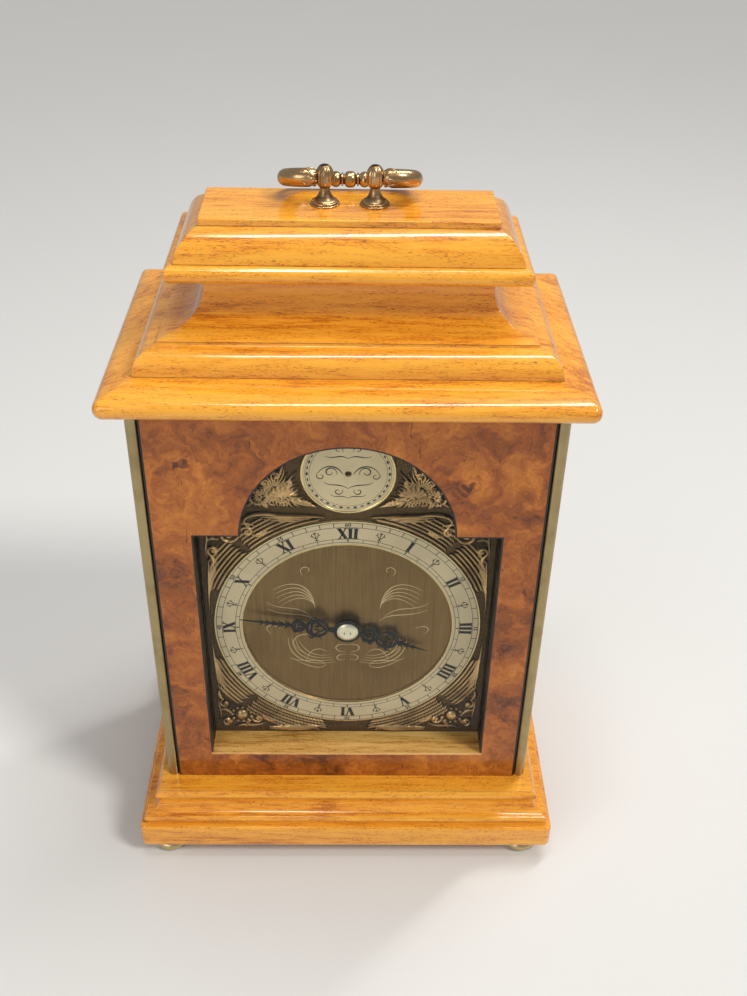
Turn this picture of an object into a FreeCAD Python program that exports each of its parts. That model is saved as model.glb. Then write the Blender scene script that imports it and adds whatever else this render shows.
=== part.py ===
"""Small bracket timepiece: walnut case, break-arch brass dial, eight-day rear-wound movement.

Frame: millimetres, +Z up, the dial faces -Y, origin at the centre of the base where it stands.
Every feature is drawn from the middle of the plinth's front part, as the case runs on further
behind; main() then moves all of them forward to that origin.
"""
import FreeCAD, Part
import math
import os
from FreeCAD import Placement, Rotation, Vector

# ---------------------------------------------------------------- driving dimensions
HALF_W, FRONT_D = 72.0, 40.4           # lines that every moulding offset is measured from
CASE_REAR, CADDY_REAR = 47.4, 37.0     # the same behind: the caddy sits forward on a deeper case
FORWARD = (CASE_REAR - FRONT_D) / 2    # move from the drawn place to the final one
FOOT_R, FOOT_H, FOOT_X, FOOT_Y = 7.0, 6.0, 73.3, (-44.0, 51.0)
SLAB_TOP, DECK = 19.6, 31.7            # plinth slab top, and the deck that the body stands on
BODY_TOP = 208.8                       # underside of the cornice
BODY_X = 73.5                          # outer faces of the side panels
FRONT, BACK = -36.4, 45.0              # front face of the mask, back face of the rear frame
SIDE_T, MASK_T = 6.0, 5.4
MASK_X = 68.2                          # the mask stops short of the corners for the columns
COLUMN_R = 2.3
STRIP_T = 0.7                          # ebonised strip in the corner notch

OPEN_X, OPEN_BOTTOM = 54.2, 45.3       # break-arch opening, finished size
SHOULDER, ARCH_R, ARCH_Z = 155.2, 37.8, 154.4
LINING_T, SILL_T = 0.6, 1.2
GLASS_T, GLASS_LAP, RETAINER_LAP = 1.6, 3.0, 7.0
DIAL_FRONT, DIAL_T = -24.6, 1.6
DIAL_MARGIN = 4.0                      # how far the dial plate runs on behind the opening

CENTRE_Z = 103.3                       # height of the hands' axis
CHAPTER_OUT, CHAPTER_IN, CHAPTER_T = 50.9, 40.2, 0.9
DISC_R, DISC_Z, DISC_T = 16.0, 174.8, 1.0
CASTING_T = 0.9                        # thickness of the spandrel castings
MINUTE_LEN, MINUTE_AT = 41.5, 278.0    # reach, and degrees clockwise from twelve
HOUR_LEN, HOUR_AT = 33.0, 109.4
HAND_T = 0.5
HOUR_Y, MINUTE_Y, NUT_Y = -26.1, -27.4, -27.9   # rear faces of the two hands and of the nut
NUT_R, NUT_T, HUB_R = 4.1, 0.9, 5.4

PLATE_X, PLATE_BOTTOM, PLATE_TOP, PLATE_T = 31.0, 41.5, 152.0, 2.0
FRONT_PLATE, BACK_PLATE = -16.0, 8.0   # front faces of the two movement plates
PILLAR_X, PILLAR_Z, PILLAR_R = 26.5, (46.5, 147.0), 2.5
FIT = 0.05                             # radial clearance of every running fit
PIVOT_R, ARBOR_R = 0.5, 0.9
SEAT_T = 5.5

REAR_T, DOOR_T, DOOR_LIP = 6.0, 5.0, 1.6
DOOR_X, DOOR_BOTTOM, DOOR_TOP, DOOR_GAP = 50.0, 42.4, 196.6, 0.4
WINDOW_X, WINDOW_BOTTOM, WINDOW_TOP = 38.0, 56.0, 183.0
HINGE_Z, HINGE_LEN, KNUCKLE_R, HINGE_PIN_R = (66.0, 173.0), 18.0, 1.5, 0.7

TOP_Z = 263.0                          # top face of the caddy
POST_X, POST_Y, PIVOT_Z = 8.0, -1.7, 271.9
BALL_R, BALL_H = 2.6, 4.0
BAIL_REACH, BAIL_BEND_X, BAIL_R, BAIL_DROOP = 14.5, 13.6, 2.3, 22.5

# ---------------------------------------------------------------- small helpers
X, Y, Z = Vector(1, 0, 0), Vector(0, 1, 0), Vector(0, 0, 1)
ORIGIN = Vector(0, 0, 0)


def box(x0, x1, y0, y1, z0, z1):
    """Upright box between two corners."""
    return Part.makeBox(x1 - x0, y1 - y0, z1 - z0, Vector(x0, y0, z0))


def rod(radius, y0, y1, x=0.0, z=0.0):
    """Cylinder along Y, from y0 to y1."""
    return Part.makeCylinder(radius, y1 - y0, Vector(x, y0, z), Y)


def tube(outer, inner, y0, y1, x=0.0, z=0.0):
    """Hollow cylinder along Y."""
    return rod(outer, y0, y1, x, z).cut(rod(inner, y0, y1, x, z))


def outline_points(profile, chords):
    """Points of a profile of (across, up) pairs.

    An entry of two pairs is an arc: a point it passes through, then its end. It becomes
    that many chords, as small turned work needs no finer facets.
    """
    points = [Vector(profile[0][0], 0, profile[0][1])]
    for entry in profile[1:]:
        if isinstance(entry[0], tuple):
            middle, end = (Vector(u, 0, v) for u, v in entry)
            points += Part.Arc(points[-1], middle, end).toShape().discretize(chords + 1)[1:]
        else:
            points.append(Vector(entry[0], 0, entry[1]))
    return points


def turned(profile, base, axis=Z, chords=3):
    """Solid of revolution: profile lists (radius, height) up the axis from base."""
    points = outline_points(profile, chords)
    ends = [Vector(0, 0, points[-1].z), Vector(0, 0, points[0].z)]
    points += [p for p in ends if p.distanceToPoint(points[-1]) > 1e-6]
    face = Part.Face(Part.makePolygon(points + points[:1]))
    solid = face.revolve(ORIGIN, Z, 360)
    solid.Placement = Placement(base, Rotation(Z, axis))
    return solid


def slab_from(face, y0, y1):
    """Plate between y0 and y1 from a face drawn in the XZ plane."""
    return face.translated(Vector(0, y0, 0)).extrude(Vector(0, y1 - y0, 0))


def flat_from(points, y0, y1):
    """Plate from a list of (x, z) points."""
    corners = [Vector(x, 0, z) for x, z in points]
    return slab_from(Part.Face(Part.makePolygon(corners + corners[:1])), y0, y1)


def fused(shapes):
    """One clean shape from several that touch or overlap."""
    return shapes[0].multiFuse(shapes[1:]).removeSplitter() if len(shapes) > 1 else shapes[0]


def group(shapes):
    """Separate solids kept in one node."""
    return Part.makeCompound(shapes)


def both_sides(shape):
    """A shape and its mirror image in the plane X = 0."""
    return [shape, shape.mirror(ORIGIN, X)]


# ---------------------------------------------------------------- mitred mouldings
def section_face(profile, half):
    """Full-width section across the clock: profile lists (offset, height) upwards.

    An entry of two pairs is an arc, as in turned().
    """
    ends = [e[-1] if isinstance(e[0], tuple) else e for e in profile]
    points = [Vector(half + p, 0, z) for p, z in ends]
    right = []
    for i in range(1, len(profile)):
        entry = profile[i]
        if isinstance(entry[0], tuple):
            middle = Vector(half + entry[0][0], 0, entry[0][1])
            right.append(Part.Arc(points[i - 1], middle, points[i]).toShape())
        else:
            right.append(Part.makeLine(points[i - 1], points[i]))
    left = [e.mirror(ORIGIN, X) for e in right]
    caps = [Part.makeLine(Vector(-p.x, 0, p.z), p) for p in (points[0], points[-1])]
    return Part.Face(Part.Wire(Part.__sortEdges__(right + left + caps)))


def moulding(profile, corner=0.0, rear=CASE_REAR):
    """Moulding that runs round all four sides with mitred corners.

    Two straight prisms of the same profile, one for the front and back and one for the
    sides, keep only what they share, which mitres the corners. corner rounds them in plan.
    rear is the line that the offsets behind are measured from.
    """
    reach = max(max(e[-1][0] if isinstance(e[0], tuple) else e[0] for e in profile), 0.0) + 20.0
    across = section_face(profile, HALF_W)
    across = slab_from(across, -FRONT_D - reach, rear + reach)
    along = section_face(profile, (FRONT_D + rear) / 2)
    along = slab_from(along, -HALF_W - reach, HALF_W + reach)
    along.rotate(ORIGIN, Z, 90)
    solid = across.common(along.translated(Vector(0, (rear - FRONT_D) / 2, 0)))
    if corner:
        box_ = solid.BoundBox
        blank = box(box_.XMin, box_.XMax, box_.YMin, box_.YMax, box_.ZMin - 1, box_.ZMax + 1)
        upright = [e for e in blank.Edges if abs(e.tangentAt(e.FirstParameter).z) > 0.9]
        solid = solid.common(blank.makeFillet(corner, upright))
    return solid.removeSplitter()


# ---------------------------------------------------------------- plinth, cornice and caddy
def plinth_slab():
    return moulding([(8.0, FOOT_H), (9.4, FOOT_H), ((11.5, 6.9), (12.3, 9.0)), (12.3, 16.6),
                     ((12.1, 17.7), (11.4, 18.2)), (9.4, 18.2), (9.2, SLAB_TOP)], 2.5)


def plinth_moulding():
    return moulding([(9.2, SLAB_TOP), ((10.5, 21.1), (9.2, 22.4)), (8.7, 22.4),
                     ((6.2, 23.4), (4.5, 25.5)), (4.0, 25.6), (4.0, 27.4),
                     ((5.6, 29.3), (4.6, 31.2)), (4.1, DECK)])


def cornice_board():
    return moulding([(3.4, BODY_TOP), (4.7, BODY_TOP), ((8.4, 212.3), (5.6, 215.6)),
                     (-3.0, 218.9)], 3.0)


def cornice_ovolo():
    return moulding([(-3.0, 218.9), (-3.3, 220.4), ((-5.2, 224.5), (-9.3, 226.3)),
                     (-10.6, 226.7), (-10.8, 227.7)])


def bell_cove():
    return moulding([(-10.8, 227.7), (-13.7, 228.7), ((-21.6, 232.0), (-25.0, 239.4)),
                     (-25.0, 245.4)], rear=CADDY_REAR)


def caddy_slab():
    return moulding([(-16.6, 245.4), ((-13.7, 248.2), (-16.4, 251.0))], 1.5, CADDY_REAR)


def caddy_cushion():
    return moulding([(-16.8, 251.0), ((-19.2, 256.7), (-24.6, 260.7))], rear=CADDY_REAR)


def top_panel():
    return moulding([(-24.6, 260.7), (-24.6, 262.4), (-25.2, TOP_Z)], rear=CADDY_REAR)


def bun_feet():
    """Four turned brass feet."""
    profile = [(4.6, 0.0), (5.6, 0.0), ((FOOT_R, 2.6), (5.2, 5.2)), (5.2, FOOT_H)]
    return group([turned(profile, Vector(x, y, 0)) for x in (-FOOT_X, FOOT_X) for y in FOOT_Y])


# ---------------------------------------------------------------- case body
def arch_outline(grow, bottom):
    """Break-arch face in the XZ plane, grown all round but at the bottom."""
    half, radius = OPEN_X + grow, ARCH_R + grow
    shoulder = SHOULDER + grow
    spring = math.sqrt(radius ** 2 - (shoulder - ARCH_Z) ** 2)
    corners = [(-spring, shoulder), (-half, shoulder), (-half, bottom), (half, bottom),
               (half, shoulder), (spring, shoulder)]
    points = [Vector(x, 0, z) for x, z in corners]
    edges = [Part.makeLine(a, b) for a, b in zip(points, points[1:])]
    edges.append(Part.Arc(points[-1], Vector(0, 0, ARCH_Z + radius), points[0]).toShape())
    return Part.Face(Part.Wire(edges))


def side_panels():
    return group(both_sides(box(BODY_X - SIDE_T, BODY_X, FRONT + MASK_T, BACK, DECK, BODY_TOP)))


def front_mask():
    """Burr-veneered panel with the break-arch opening."""
    panel = box(-MASK_X, MASK_X, FRONT, FRONT + MASK_T, DECK, BODY_TOP)
    hole = arch_outline(LINING_T, OPEN_BOTTOM - SILL_T)
    return panel.cut(slab_from(hole, FRONT - 1, FRONT + MASK_T + 1))


def reveal_lining():
    """Black strip round the opening, open at the bottom where the sill lies."""
    rear = FRONT + MASK_T
    ring = slab_from(arch_outline(LINING_T, OPEN_BOTTOM), FRONT + 0.1, rear)
    return ring.cut(slab_from(arch_outline(0, OPEN_BOTTOM - 5), FRONT, rear))


def dial_sill():
    half = OPEN_X + LINING_T
    return box(-half, half, FRONT + 0.1, DIAL_FRONT, OPEN_BOTTOM - SILL_T, OPEN_BOTTOM)


def viewing_glass():
    rear = FRONT + MASK_T
    return slab_from(arch_outline(GLASS_LAP, OPEN_BOTTOM), rear, rear + GLASS_T)


def glass_retainer():
    """Frame behind the mask that holds the glass and that the dial plate lies against."""
    rear = FRONT + MASK_T
    frame = slab_from(arch_outline(RETAINER_LAP, OPEN_BOTTOM), rear, DIAL_FRONT)
    frame = frame.cut(slab_from(arch_outline(GLASS_LAP, OPEN_BOTTOM - 5), rear - 1, rear + GLASS_T))
    return frame.cut(slab_from(arch_outline(0, OPEN_BOTTOM - 5), rear, DIAL_FRONT + 1))


def corner_strips():
    """Ebonised strips that line the notch behind each column."""
    rear = FRONT + MASK_T
    beside = box(MASK_X, MASK_X + STRIP_T, FRONT + 0.2, rear, DECK, BODY_TOP)
    behind = box(MASK_X + STRIP_T, BODY_X - 0.2, rear - STRIP_T, rear, DECK, BODY_TOP)
    return group(both_sides(beside.fuse(behind).removeSplitter()))


def corner_columns():
    centre = Vector(MASK_X + STRIP_T + COLUMN_R, FRONT + MASK_T - STRIP_T - COLUMN_R, DECK)
    return group(both_sides(Part.makeCylinder(COLUMN_R, BODY_TOP - DECK, centre)))


def seat_board():
    return box(-BODY_X + SIDE_T, BODY_X - SIDE_T, -18.0, 12.0, PLATE_BOTTOM - SEAT_T, PLATE_BOTTOM)


# ---------------------------------------------------------------- rear door
HINGE_X, HINGE_Y = DOOR_X + DOOR_GAP / 2, BACK + KNUCKLE_R + 0.1
KNUCKLE_LEN = HINGE_LEN / 3
KNOB_X, CATCH_Z = -44.0, 119.5
BUTTON_X, BUTTON_REACH = -56.5, 8.4


def rear_frame():
    """Frame with a stop lip that the door closes against."""
    front = BACK - REAR_T
    panel = box(-BODY_X + SIDE_T, BODY_X - SIDE_T, front, BACK, DECK, BODY_TOP)
    half, low, high = DOOR_X + DOOR_GAP, DOOR_BOTTOM - DOOR_GAP, DOOR_TOP + DOOR_GAP
    panel = panel.cut(box(-half, half, BACK - DOOR_T, BACK + 1, low, high))
    lip = DOOR_LIP
    panel = panel.cut(box(-half + lip, half - lip, front - 1, BACK, low + lip, high - lip))
    return panel.cut(rod(1.0, BACK - 4, BACK + 1, BUTTON_X, CATCH_Z))


def rear_door():
    """Glazed door: stiles and rails round a window, with a rebate for its pane."""
    inner = BACK - DOOR_T
    door = box(-DOOR_X, DOOR_X, inner, BACK, DOOR_BOTTOM, DOOR_TOP)
    door = door.cut(box(-WINDOW_X, WINDOW_X, inner - 1, BACK + 1, WINDOW_BOTTOM, WINDOW_TOP))
    door = door.cut(pane_space(0.3, inner - 1))
    return door.cut(rod(1.2, BACK - 3, BACK + 1, KNOB_X, CATCH_Z))


def pane_space(grow, front):
    lap = 3.0 + grow
    return box(-WINDOW_X - lap, WINDOW_X + lap, front, BACK - DOOR_T + 1.5,
               WINDOW_BOTTOM - lap, WINDOW_TOP + lap)


def rear_door_glass():
    return pane_space(0.0, BACK - DOOR_T + 0.2)


def hinge_half(side, low, knuckles, bore):
    """One leaf of a butt hinge, with its knuckles, cleared for the other leaf's knuckles."""
    inner, outer = HINGE_X + side * 0.6, HINGE_X + side * 8.0
    shape = box(min(inner, outer), max(inner, outer), BACK, BACK + 0.8, low, low + HINGE_LEN)
    for k in range(3):
        foot = Vector(HINGE_X, HINGE_Y, low + k * KNUCKLE_LEN)
        if k in knuckles:
            shape = shape.fuse(Part.makeCylinder(KNUCKLE_R, KNUCKLE_LEN, foot))
        else:
            shape = shape.cut(Part.makeCylinder(KNUCKLE_R + 0.3, KNUCKLE_LEN, foot))
    shape = shape.cut(Part.makeCylinder(bore, HINGE_LEN, Vector(HINGE_X, HINGE_Y, low)))
    if 1 in knuckles:
        trim = 0.1
        shape = shape.cut(box(HINGE_X - 2, HINGE_X + 2, BACK, BACK + 4, low, low + KNUCKLE_LEN + trim))
        high = low + 2 * KNUCKLE_LEN - trim
        shape = shape.cut(box(HINGE_X - 2, HINGE_X + 2, BACK, BACK + 4, high, low + HINGE_LEN))
    return shape.removeSplitter()


def hinge_case_leaves():
    halves = [hinge_half(1, z, (0, 2), HINGE_PIN_R) for z in HINGE_Z]
    return group(halves)


def hinge_door_leaves():
    halves = [hinge_half(-1, z, (1,), HINGE_PIN_R + FIT) for z in HINGE_Z]
    return group(halves)


def hinge_pins():
    pins = [Part.makeCylinder(HINGE_PIN_R, HINGE_LEN, Vector(HINGE_X, HINGE_Y, z)) for z in HINGE_Z]
    return group(pins)


def door_knob():
    profile = [(1.2, 0.0), (1.2, 3.0), (3.2, 3.0), (3.2, 3.8), (1.6, 4.4), (1.6, 5.4),
               ((3.6, 7.6), (1.4, 9.6))]
    return turned(profile, Vector(KNOB_X, BACK - 3, CATCH_Z), Y)


def turn_button():
    """Small brass button that turns across the door's edge to hold it shut."""
    half, y0, y1 = 2.2, BACK + 0.3, BACK + 1.7
    low, high = CATCH_Z - BUTTON_REACH + half, CATCH_Z + BUTTON_REACH - half
    bar = box(BUTTON_X - half, BUTTON_X + half, y0, y1, low, high)
    ends = [rod(half, y0, y1, BUTTON_X, z) for z in (low, high)]
    return fused([bar] + ends).cut(rod(1.0 + FIT, BACK, BACK + 2, BUTTON_X, CATCH_Z))


def turn_button_stud():
    """Pivot stud with a domed head over the turn button."""
    profile = [(1.0, 0.0), (1.0, 5.9), (2.0, 5.9), ((1.4, 6.7), (0.4, 7.0))]
    return turned(profile, Vector(BUTTON_X, BACK - 4, CATCH_Z), Y, 2)


# ---------------------------------------------------------------- bail handle
def handle_posts():
    """Turned brass posts with the bores that the bail's pins turn in."""
    ball = BALL_R
    rise = PIVOT_Z - TOP_Z
    profile = [(4.3, 0.0), ((4.7, 0.6), (4.3, 1.2)), (3.7, 1.3), (3.7, 1.9),
               ((2.2, 2.9), (1.5, rise - BALL_H + 0.4)), ((ball, rise), (0.9, rise + BALL_H))]
    post = turned(profile, Vector(POST_X, POST_Y, TOP_Z))
    bore = Part.makeCylinder(1.0 + FIT, ball + 3.0, Vector(POST_X - 1.2, POST_Y, PIVOT_Z), X)
    return group(both_sides(post.cut(bore)))


def bail():
    """Bail with a beaded grip and bent arms, lying back on the caddy."""
    half_grip = [(3.0, 0.0), ((2.5, 1.5), (1.7, 2.2)), (2.2, 2.5), (1.7, 2.8),
                 ((2.8, 5.0), (1.7, 7.2)), (2.2, 7.5), (1.7, 7.8),
                 ((2.5, 9.6), (1.7, 11.4)), (BAIL_R, BAIL_BEND_X)]
    right = turned(half_grip, Vector(0, BAIL_REACH, 0), X, 2)
    section = Part.Face(Part.Wire(Part.makeCircle(BAIL_R, Vector(BAIL_BEND_X, BAIL_REACH, 0), X)))
    turn = section.revolve(Vector(BAIL_BEND_X, BAIL_REACH / 2, 0), Z, -180)
    inner = POST_X + BALL_R + 0.35
    knuckle_end = [(1.6, 0.0), ((BAIL_R + 0.5, 1.2), (BAIL_R, BAIL_BEND_X - inner))]
    arm = turned(knuckle_end, Vector(inner, 0, 0), X, 2)
    pin = Part.makeCylinder(1.0, inner - POST_X + 0.5, Vector(POST_X - 0.5, 0, 0), X)
    half = fused([right, turn, arm, pin])
    whole = half.fuse(half.mirror(ORIGIN, X)).removeSplitter()
    whole.rotate(ORIGIN, X, -BAIL_DROOP)
    whole.translate(Vector(0, POST_Y, PIVOT_Z))
    return whole


# ---------------------------------------------------------------- dial
def dial_plate():
    plate = slab_from(arch_outline(DIAL_MARGIN, OPEN_BOTTOM - 2.5), DIAL_FRONT, DIAL_FRONT + DIAL_T)
    return plate.cut(rod(4.0, DIAL_FRONT - 1, DIAL_FRONT + DIAL_T + 1, 0, CENTRE_Z))


def chapter_ring():
    return tube(CHAPTER_OUT, CHAPTER_IN, DIAL_FRONT - CHAPTER_T, DIAL_FRONT, 0, CENTRE_Z)


def corner_spandrels():
    """Four corner castings, hollowed by the chapter ring and pierced at the corner scroll."""
    half, margin = OPEN_X - 1.6, 1.0
    front = DIAL_FRONT - CASTING_T
    pieces = []
    for top in (False, True):
        low = CENTRE_Z + 20.0 if top else OPEN_BOTTOM + 1.2
        high = SHOULDER - 1.6 if top else CENTRE_Z - 20.0
        blank = box(20.0, half, front, DIAL_FRONT, low, high)
        blank = blank.cut(rod(CHAPTER_OUT + margin, front - 1, DIAL_FRONT + 1, 0, CENTRE_Z))
        eye_z = high - 8.5 if top else low + 8.5
        blank = blank.cut(rod(3.0, front - 1, DIAL_FRONT + 1, half - 8.5, eye_z))
        solid = max(blank.Solids, key=lambda s: s.Volume)
        pieces += both_sides(solid)
    return group(pieces)


def arch_spandrels():
    """Pair of castings either side of the arch disc."""
    front = DIAL_FRONT - CASTING_T
    field = rod(ARCH_R - 2.2, front, DIAL_FRONT, 0, ARCH_Z)
    field = field.cut(rod(DISC_R + 2.6, front - 1, DIAL_FRONT + 1, 0, DISC_Z))
    right = field.common(box(8.0, 60.0, front - 1, DIAL_FRONT + 1, ARCH_Z + 3.5, ARCH_Z + 60))
    solid = max(right.Solids, key=lambda s: s.Volume)
    return group(both_sides(solid))


def arch_disc():
    return tube(DISC_R, 1.2, DIAL_FRONT - DISC_T, DIAL_FRONT, 0, DISC_Z)


def arch_disc_rim():
    return tube(DISC_R + 1.0, DISC_R, DIAL_FRONT - DISC_T - 0.3, DIAL_FRONT, 0, DISC_Z)


def serpentine_hand(length, hub_r, bore_r, rear, lobes):
    """Pierced hand pointing up: hub, open loops of (height, radius) and a tapered blade."""
    front = rear - HAND_T
    shapes = [rod(hub_r, front, rear)]
    holes = [rod(bore_r, front - 1, rear + 1)]
    for z, r in lobes:
        shapes.append(rod(r, front, rear, 0, z))
        holes.append(rod(0.62 * r, front - 1, rear + 1, 0, z))
    tip = lobes[-1][0]
    blade = [(-0.9, tip), (0.9, tip), (1.7, tip + 6.0), (0.2, length), (-0.2, length),
             (-1.7, tip + 6.0)]
    shapes.append(flat_from(blade, front, rear))
    hand = fused(shapes)
    for hole in holes:
        hand = hand.cut(hole)
    return max(hand.Solids, key=lambda s: s.Volume)


def set_to(hand, clock_angle):
    """Turn a hand that points to twelve, clockwise as seen from the front."""
    hand.rotate(ORIGIN, Y, clock_angle)
    hand.translate(Vector(0, 0, CENTRE_Z))
    return hand


def hour_hand():
    hand = serpentine_hand(HOUR_LEN, 5.0, HOUR_PIPE_R, HOUR_Y, ((8.2, 3.6), (15.2, 4.2)))
    return set_to(hand, HOUR_AT)


def minute_hand():
    hand = serpentine_hand(MINUTE_LEN, HUB_R, CANNON_R, MINUTE_Y, ((8.4, 3.2), (15.0, 3.8)))
    return set_to(hand, MINUTE_AT)


def hand_nut():
    """Domed nut that closes the hands' arbor."""
    profile = [(NUT_R, 0.0), (NUT_R, 0.35), ((NUT_R - 0.9, 0.75), (1.4, NUT_T))]
    return turned(profile, Vector(0, NUT_Y, CENTRE_Z), -Y)


def dial_feet():
    rear = DIAL_FRONT + DIAL_T
    return group([rod(2.0, rear, FRONT_PLATE, sx * 27.0, z) for sx in (-1, 1) for z in (56.0, 146.0)])


# ---------------------------------------------------------------- gear train layout
# teeth and module of each meshing pair: wheel, pinion, module
GREAT = (48, 8, 0.85)
INTERMEDIATE = (40, 8, 0.68)
CENTRE = (48, 6, 0.60)
THIRD = (45, 6, 0.53)
FOURTH = (48, 6, 0.40)
MOTION_MINUTE = (30, 10, 0.60)         # minute wheel driven by the cannon pinion
MOTION_HOUR = (32, 8, 0.60)            # hour wheel driven by the minute wheel's pinion
ESCAPE_TEETH, ESCAPE_R = 15, 5.2
ARBOR_CENTRE_R, CANNON_R, HOUR_PIPE_R = 1.2, 1.9, 2.9


def spacing(pair):
    """Distance between the arbors of a wheel and its pinion."""
    wheel, pinion, module = pair
    return (wheel + pinion) * module / 2


def offset(origin, distance, angle):
    """Point at a distance and an angle, anticlockwise from +X as seen from the front."""
    return (origin[0] + distance * math.cos(math.radians(angle)),
            origin[1] + distance * math.sin(math.radians(angle)))


AT_CENTRE = (0.0, CENTRE_Z)
AT_INTERMEDIATE = offset(AT_CENTRE, spacing(INTERMEDIATE), 225)
AT_BARREL = (0.0, AT_INTERMEDIATE[1] - math.sqrt(spacing(GREAT) ** 2 - AT_INTERMEDIATE[0] ** 2))
AT_THIRD = offset(AT_CENTRE, spacing(CENTRE), 135)
AT_FOURTH = offset(AT_THIRD, spacing(THIRD), 45)
AT_ESCAPE = offset(AT_FOURTH, spacing(FOURTH), 60)
ESCAPEMENT_ANGLE = 20.0
AT_LEVER = offset(AT_ESCAPE, 6.4, ESCAPEMENT_ANGLE)
AT_BALANCE = offset(AT_LEVER, 7.8, ESCAPEMENT_ANGLE)
AT_MINUTE_WHEEL = offset(AT_CENTRE, spacing(MOTION_MINUTE), 0)


def bearing(start, end):
    """Direction from one arbor to another, in degrees."""
    return math.degrees(math.atan2(end[1] - start[1], end[0] - start[0]))


def mesh_phase(phase, teeth, at, other_at, other_teeth):
    """Angle of a tooth of the second gear that lets it mesh with the first at rest."""
    line = bearing(at, other_at)
    step = ((phase - line) * teeth / 360.0) % 1.0
    return line + 180.0 + (0.5 - step) * 360.0 / other_teeth


# angle of one tooth of each gear at rest, worked outwards along the two trains
PHASE = {"centre": 0.0, "centre_pinion": 0.0, "intermediate_pinion": 0.0, "third": 0.0,
         "fourth": 0.0, "cannon": 0.0, "minute_pinion": 0.0}
PHASE["intermediate"] = mesh_phase(0.0, INTERMEDIATE[1], AT_CENTRE, AT_INTERMEDIATE, INTERMEDIATE[0])
PHASE["great"] = mesh_phase(0.0, GREAT[1], AT_INTERMEDIATE, AT_BARREL, GREAT[0])
PHASE["third_pinion"] = mesh_phase(0.0, CENTRE[0], AT_CENTRE, AT_THIRD, CENTRE[1])
PHASE["fourth_pinion"] = mesh_phase(0.0, THIRD[0], AT_THIRD, AT_FOURTH, THIRD[1])
PHASE["escape_pinion"] = mesh_phase(0.0, FOURTH[0], AT_FOURTH, AT_ESCAPE, FOURTH[1])
PHASE["minute"] = mesh_phase(0.0, MOTION_MINUTE[1], AT_CENTRE, AT_MINUTE_WHEEL, MOTION_MINUTE[0])
PHASE["hour"] = mesh_phase(0.0, MOTION_HOUR[1], AT_MINUTE_WHEEL, AT_CENTRE, MOTION_HOUR[0])


# ---------------------------------------------------------------- gears
def tooth_ring(teeth, module, addendum, dedendum, root, tip, phase):
    """Flat gear face: root and tip are the tooth's share of the pitch at those circles."""
    pitch_r = teeth * module / 2
    outer_r, root_r = pitch_r + addendum * module, pitch_r - dedendum * module
    step = 2 * math.pi / teeth
    flank = [(root_r, -root / 2), (outer_r, -tip / 2), (outer_r, tip / 2), (root_r, root / 2)]
    if root == 1.0:
        flank.pop()                    # neighbouring teeth share the bottom of their gap
    points = []
    for i in range(teeth):
        middle = math.radians(phase) + i * step
        points += [Vector(r * math.cos(middle + s * step), 0, r * math.sin(middle + s * step))
                   for r, s in flank]
    return Part.Face(Part.makePolygon(points + points[:1]))


def wheel_face(pair, phase):
    return tooth_ring(pair[0], pair[2], 0.75, 1.4, 1.0, 0.2, phase)


def wheel(pair, at, phase, y0, y1, spokes, hub_r):
    """Crossed-out wheel of a pair, with straight spokes."""
    teeth, _, module = pair
    blank = slab_from(wheel_face(pair, phase), y0, y1)
    rim_in = (teeth / 2 - 1.4) * module - 1.6
    crossing = tube(rim_in, hub_r + 1.2, y0 - 1, y1 + 1)
    for i in range(spokes):
        bar = box(-0.9, 0.9, y0 - 1, y1 + 1, 0, rim_in + 1)
        bar.rotate(ORIGIN, Y, i * 360.0 / spokes)
        crossing = crossing.cut(bar)
    return blank.cut(crossing).translated(Vector(at[0], 0, at[1]))


def pinion(pair, at, phase, y0, y1):
    """Leaves of the pinion of a pair."""
    _, leaves, module = pair
    solid = slab_from(tooth_ring(leaves, module, 0.6, 1.15, 0.4, 0.12, phase), y0, y1)
    return solid.translated(Vector(at[0], 0, at[1]))


def arbor(at, y0, y1, radius=ARBOR_R, pivot=PIVOT_R, front=PLATE_T, rear=PLATE_T):
    """Arbor from y0 to y1 with a thinner pivot beyond each end."""
    body = rod(radius, y0, y1, *at)
    return fused([body, rod(pivot, y0 - front, y0, *at), rod(pivot, y1, y1 + rear, *at)])


GAP_FRONT, GAP_REAR = FRONT_PLATE + PLATE_T, BACK_PLATE
END_PLAY = 0.1


def train_arbor(at, radius=ARBOR_R):
    """Arbor between the two plates."""
    play = END_PLAY
    return arbor(at, GAP_FRONT + play, GAP_REAR - play, radius, PIVOT_R, PLATE_T, PLATE_T)


def intermediate_wheel():
    at = AT_INTERMEDIATE
    return fused([train_arbor(at, 1.0), wheel(INTERMEDIATE, at, PHASE["intermediate"], 3.2, 4.4, 4, 1.0),
                  pinion(GREAT, at, PHASE["intermediate_pinion"], -1.8, 1.6)])


def centre_wheel():
    """Wheel and pinion on a pipe that grips the centre arbor by friction."""
    at = AT_CENTRE
    pipe = rod(1.9, -6.0, 4.8, *at)
    body = fused([pipe, wheel(CENTRE, at, PHASE["centre"], -6.0, -4.8, 4, 2.0),
                  pinion(INTERMEDIATE, at, PHASE["centre_pinion"], 2.6, 4.8)])
    return body.cut(rod(ARBOR_CENTRE_R + FIT, -8, 8, *at))


def third_wheel():
    at = AT_THIRD
    return fused([train_arbor(at), wheel(THIRD, at, PHASE["third"], -2.6, -1.6, 4, 1.0),
                  pinion(CENTRE, at, PHASE["third_pinion"], -6.6, -4.2)])


def fourth_wheel():
    at = AT_FOURTH
    return fused([train_arbor(at, 0.8), wheel(FOURTH, at, PHASE["fourth"], 5.0, 6.0, 4, 0.8),
                  pinion(THIRD, at, PHASE["fourth_pinion"], -3.2, -1.0)])


BRIDGE_Y, BRIDGE_T = 17.0, 1.6
ESCAPE_Y = (11.6, 12.2)


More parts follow.
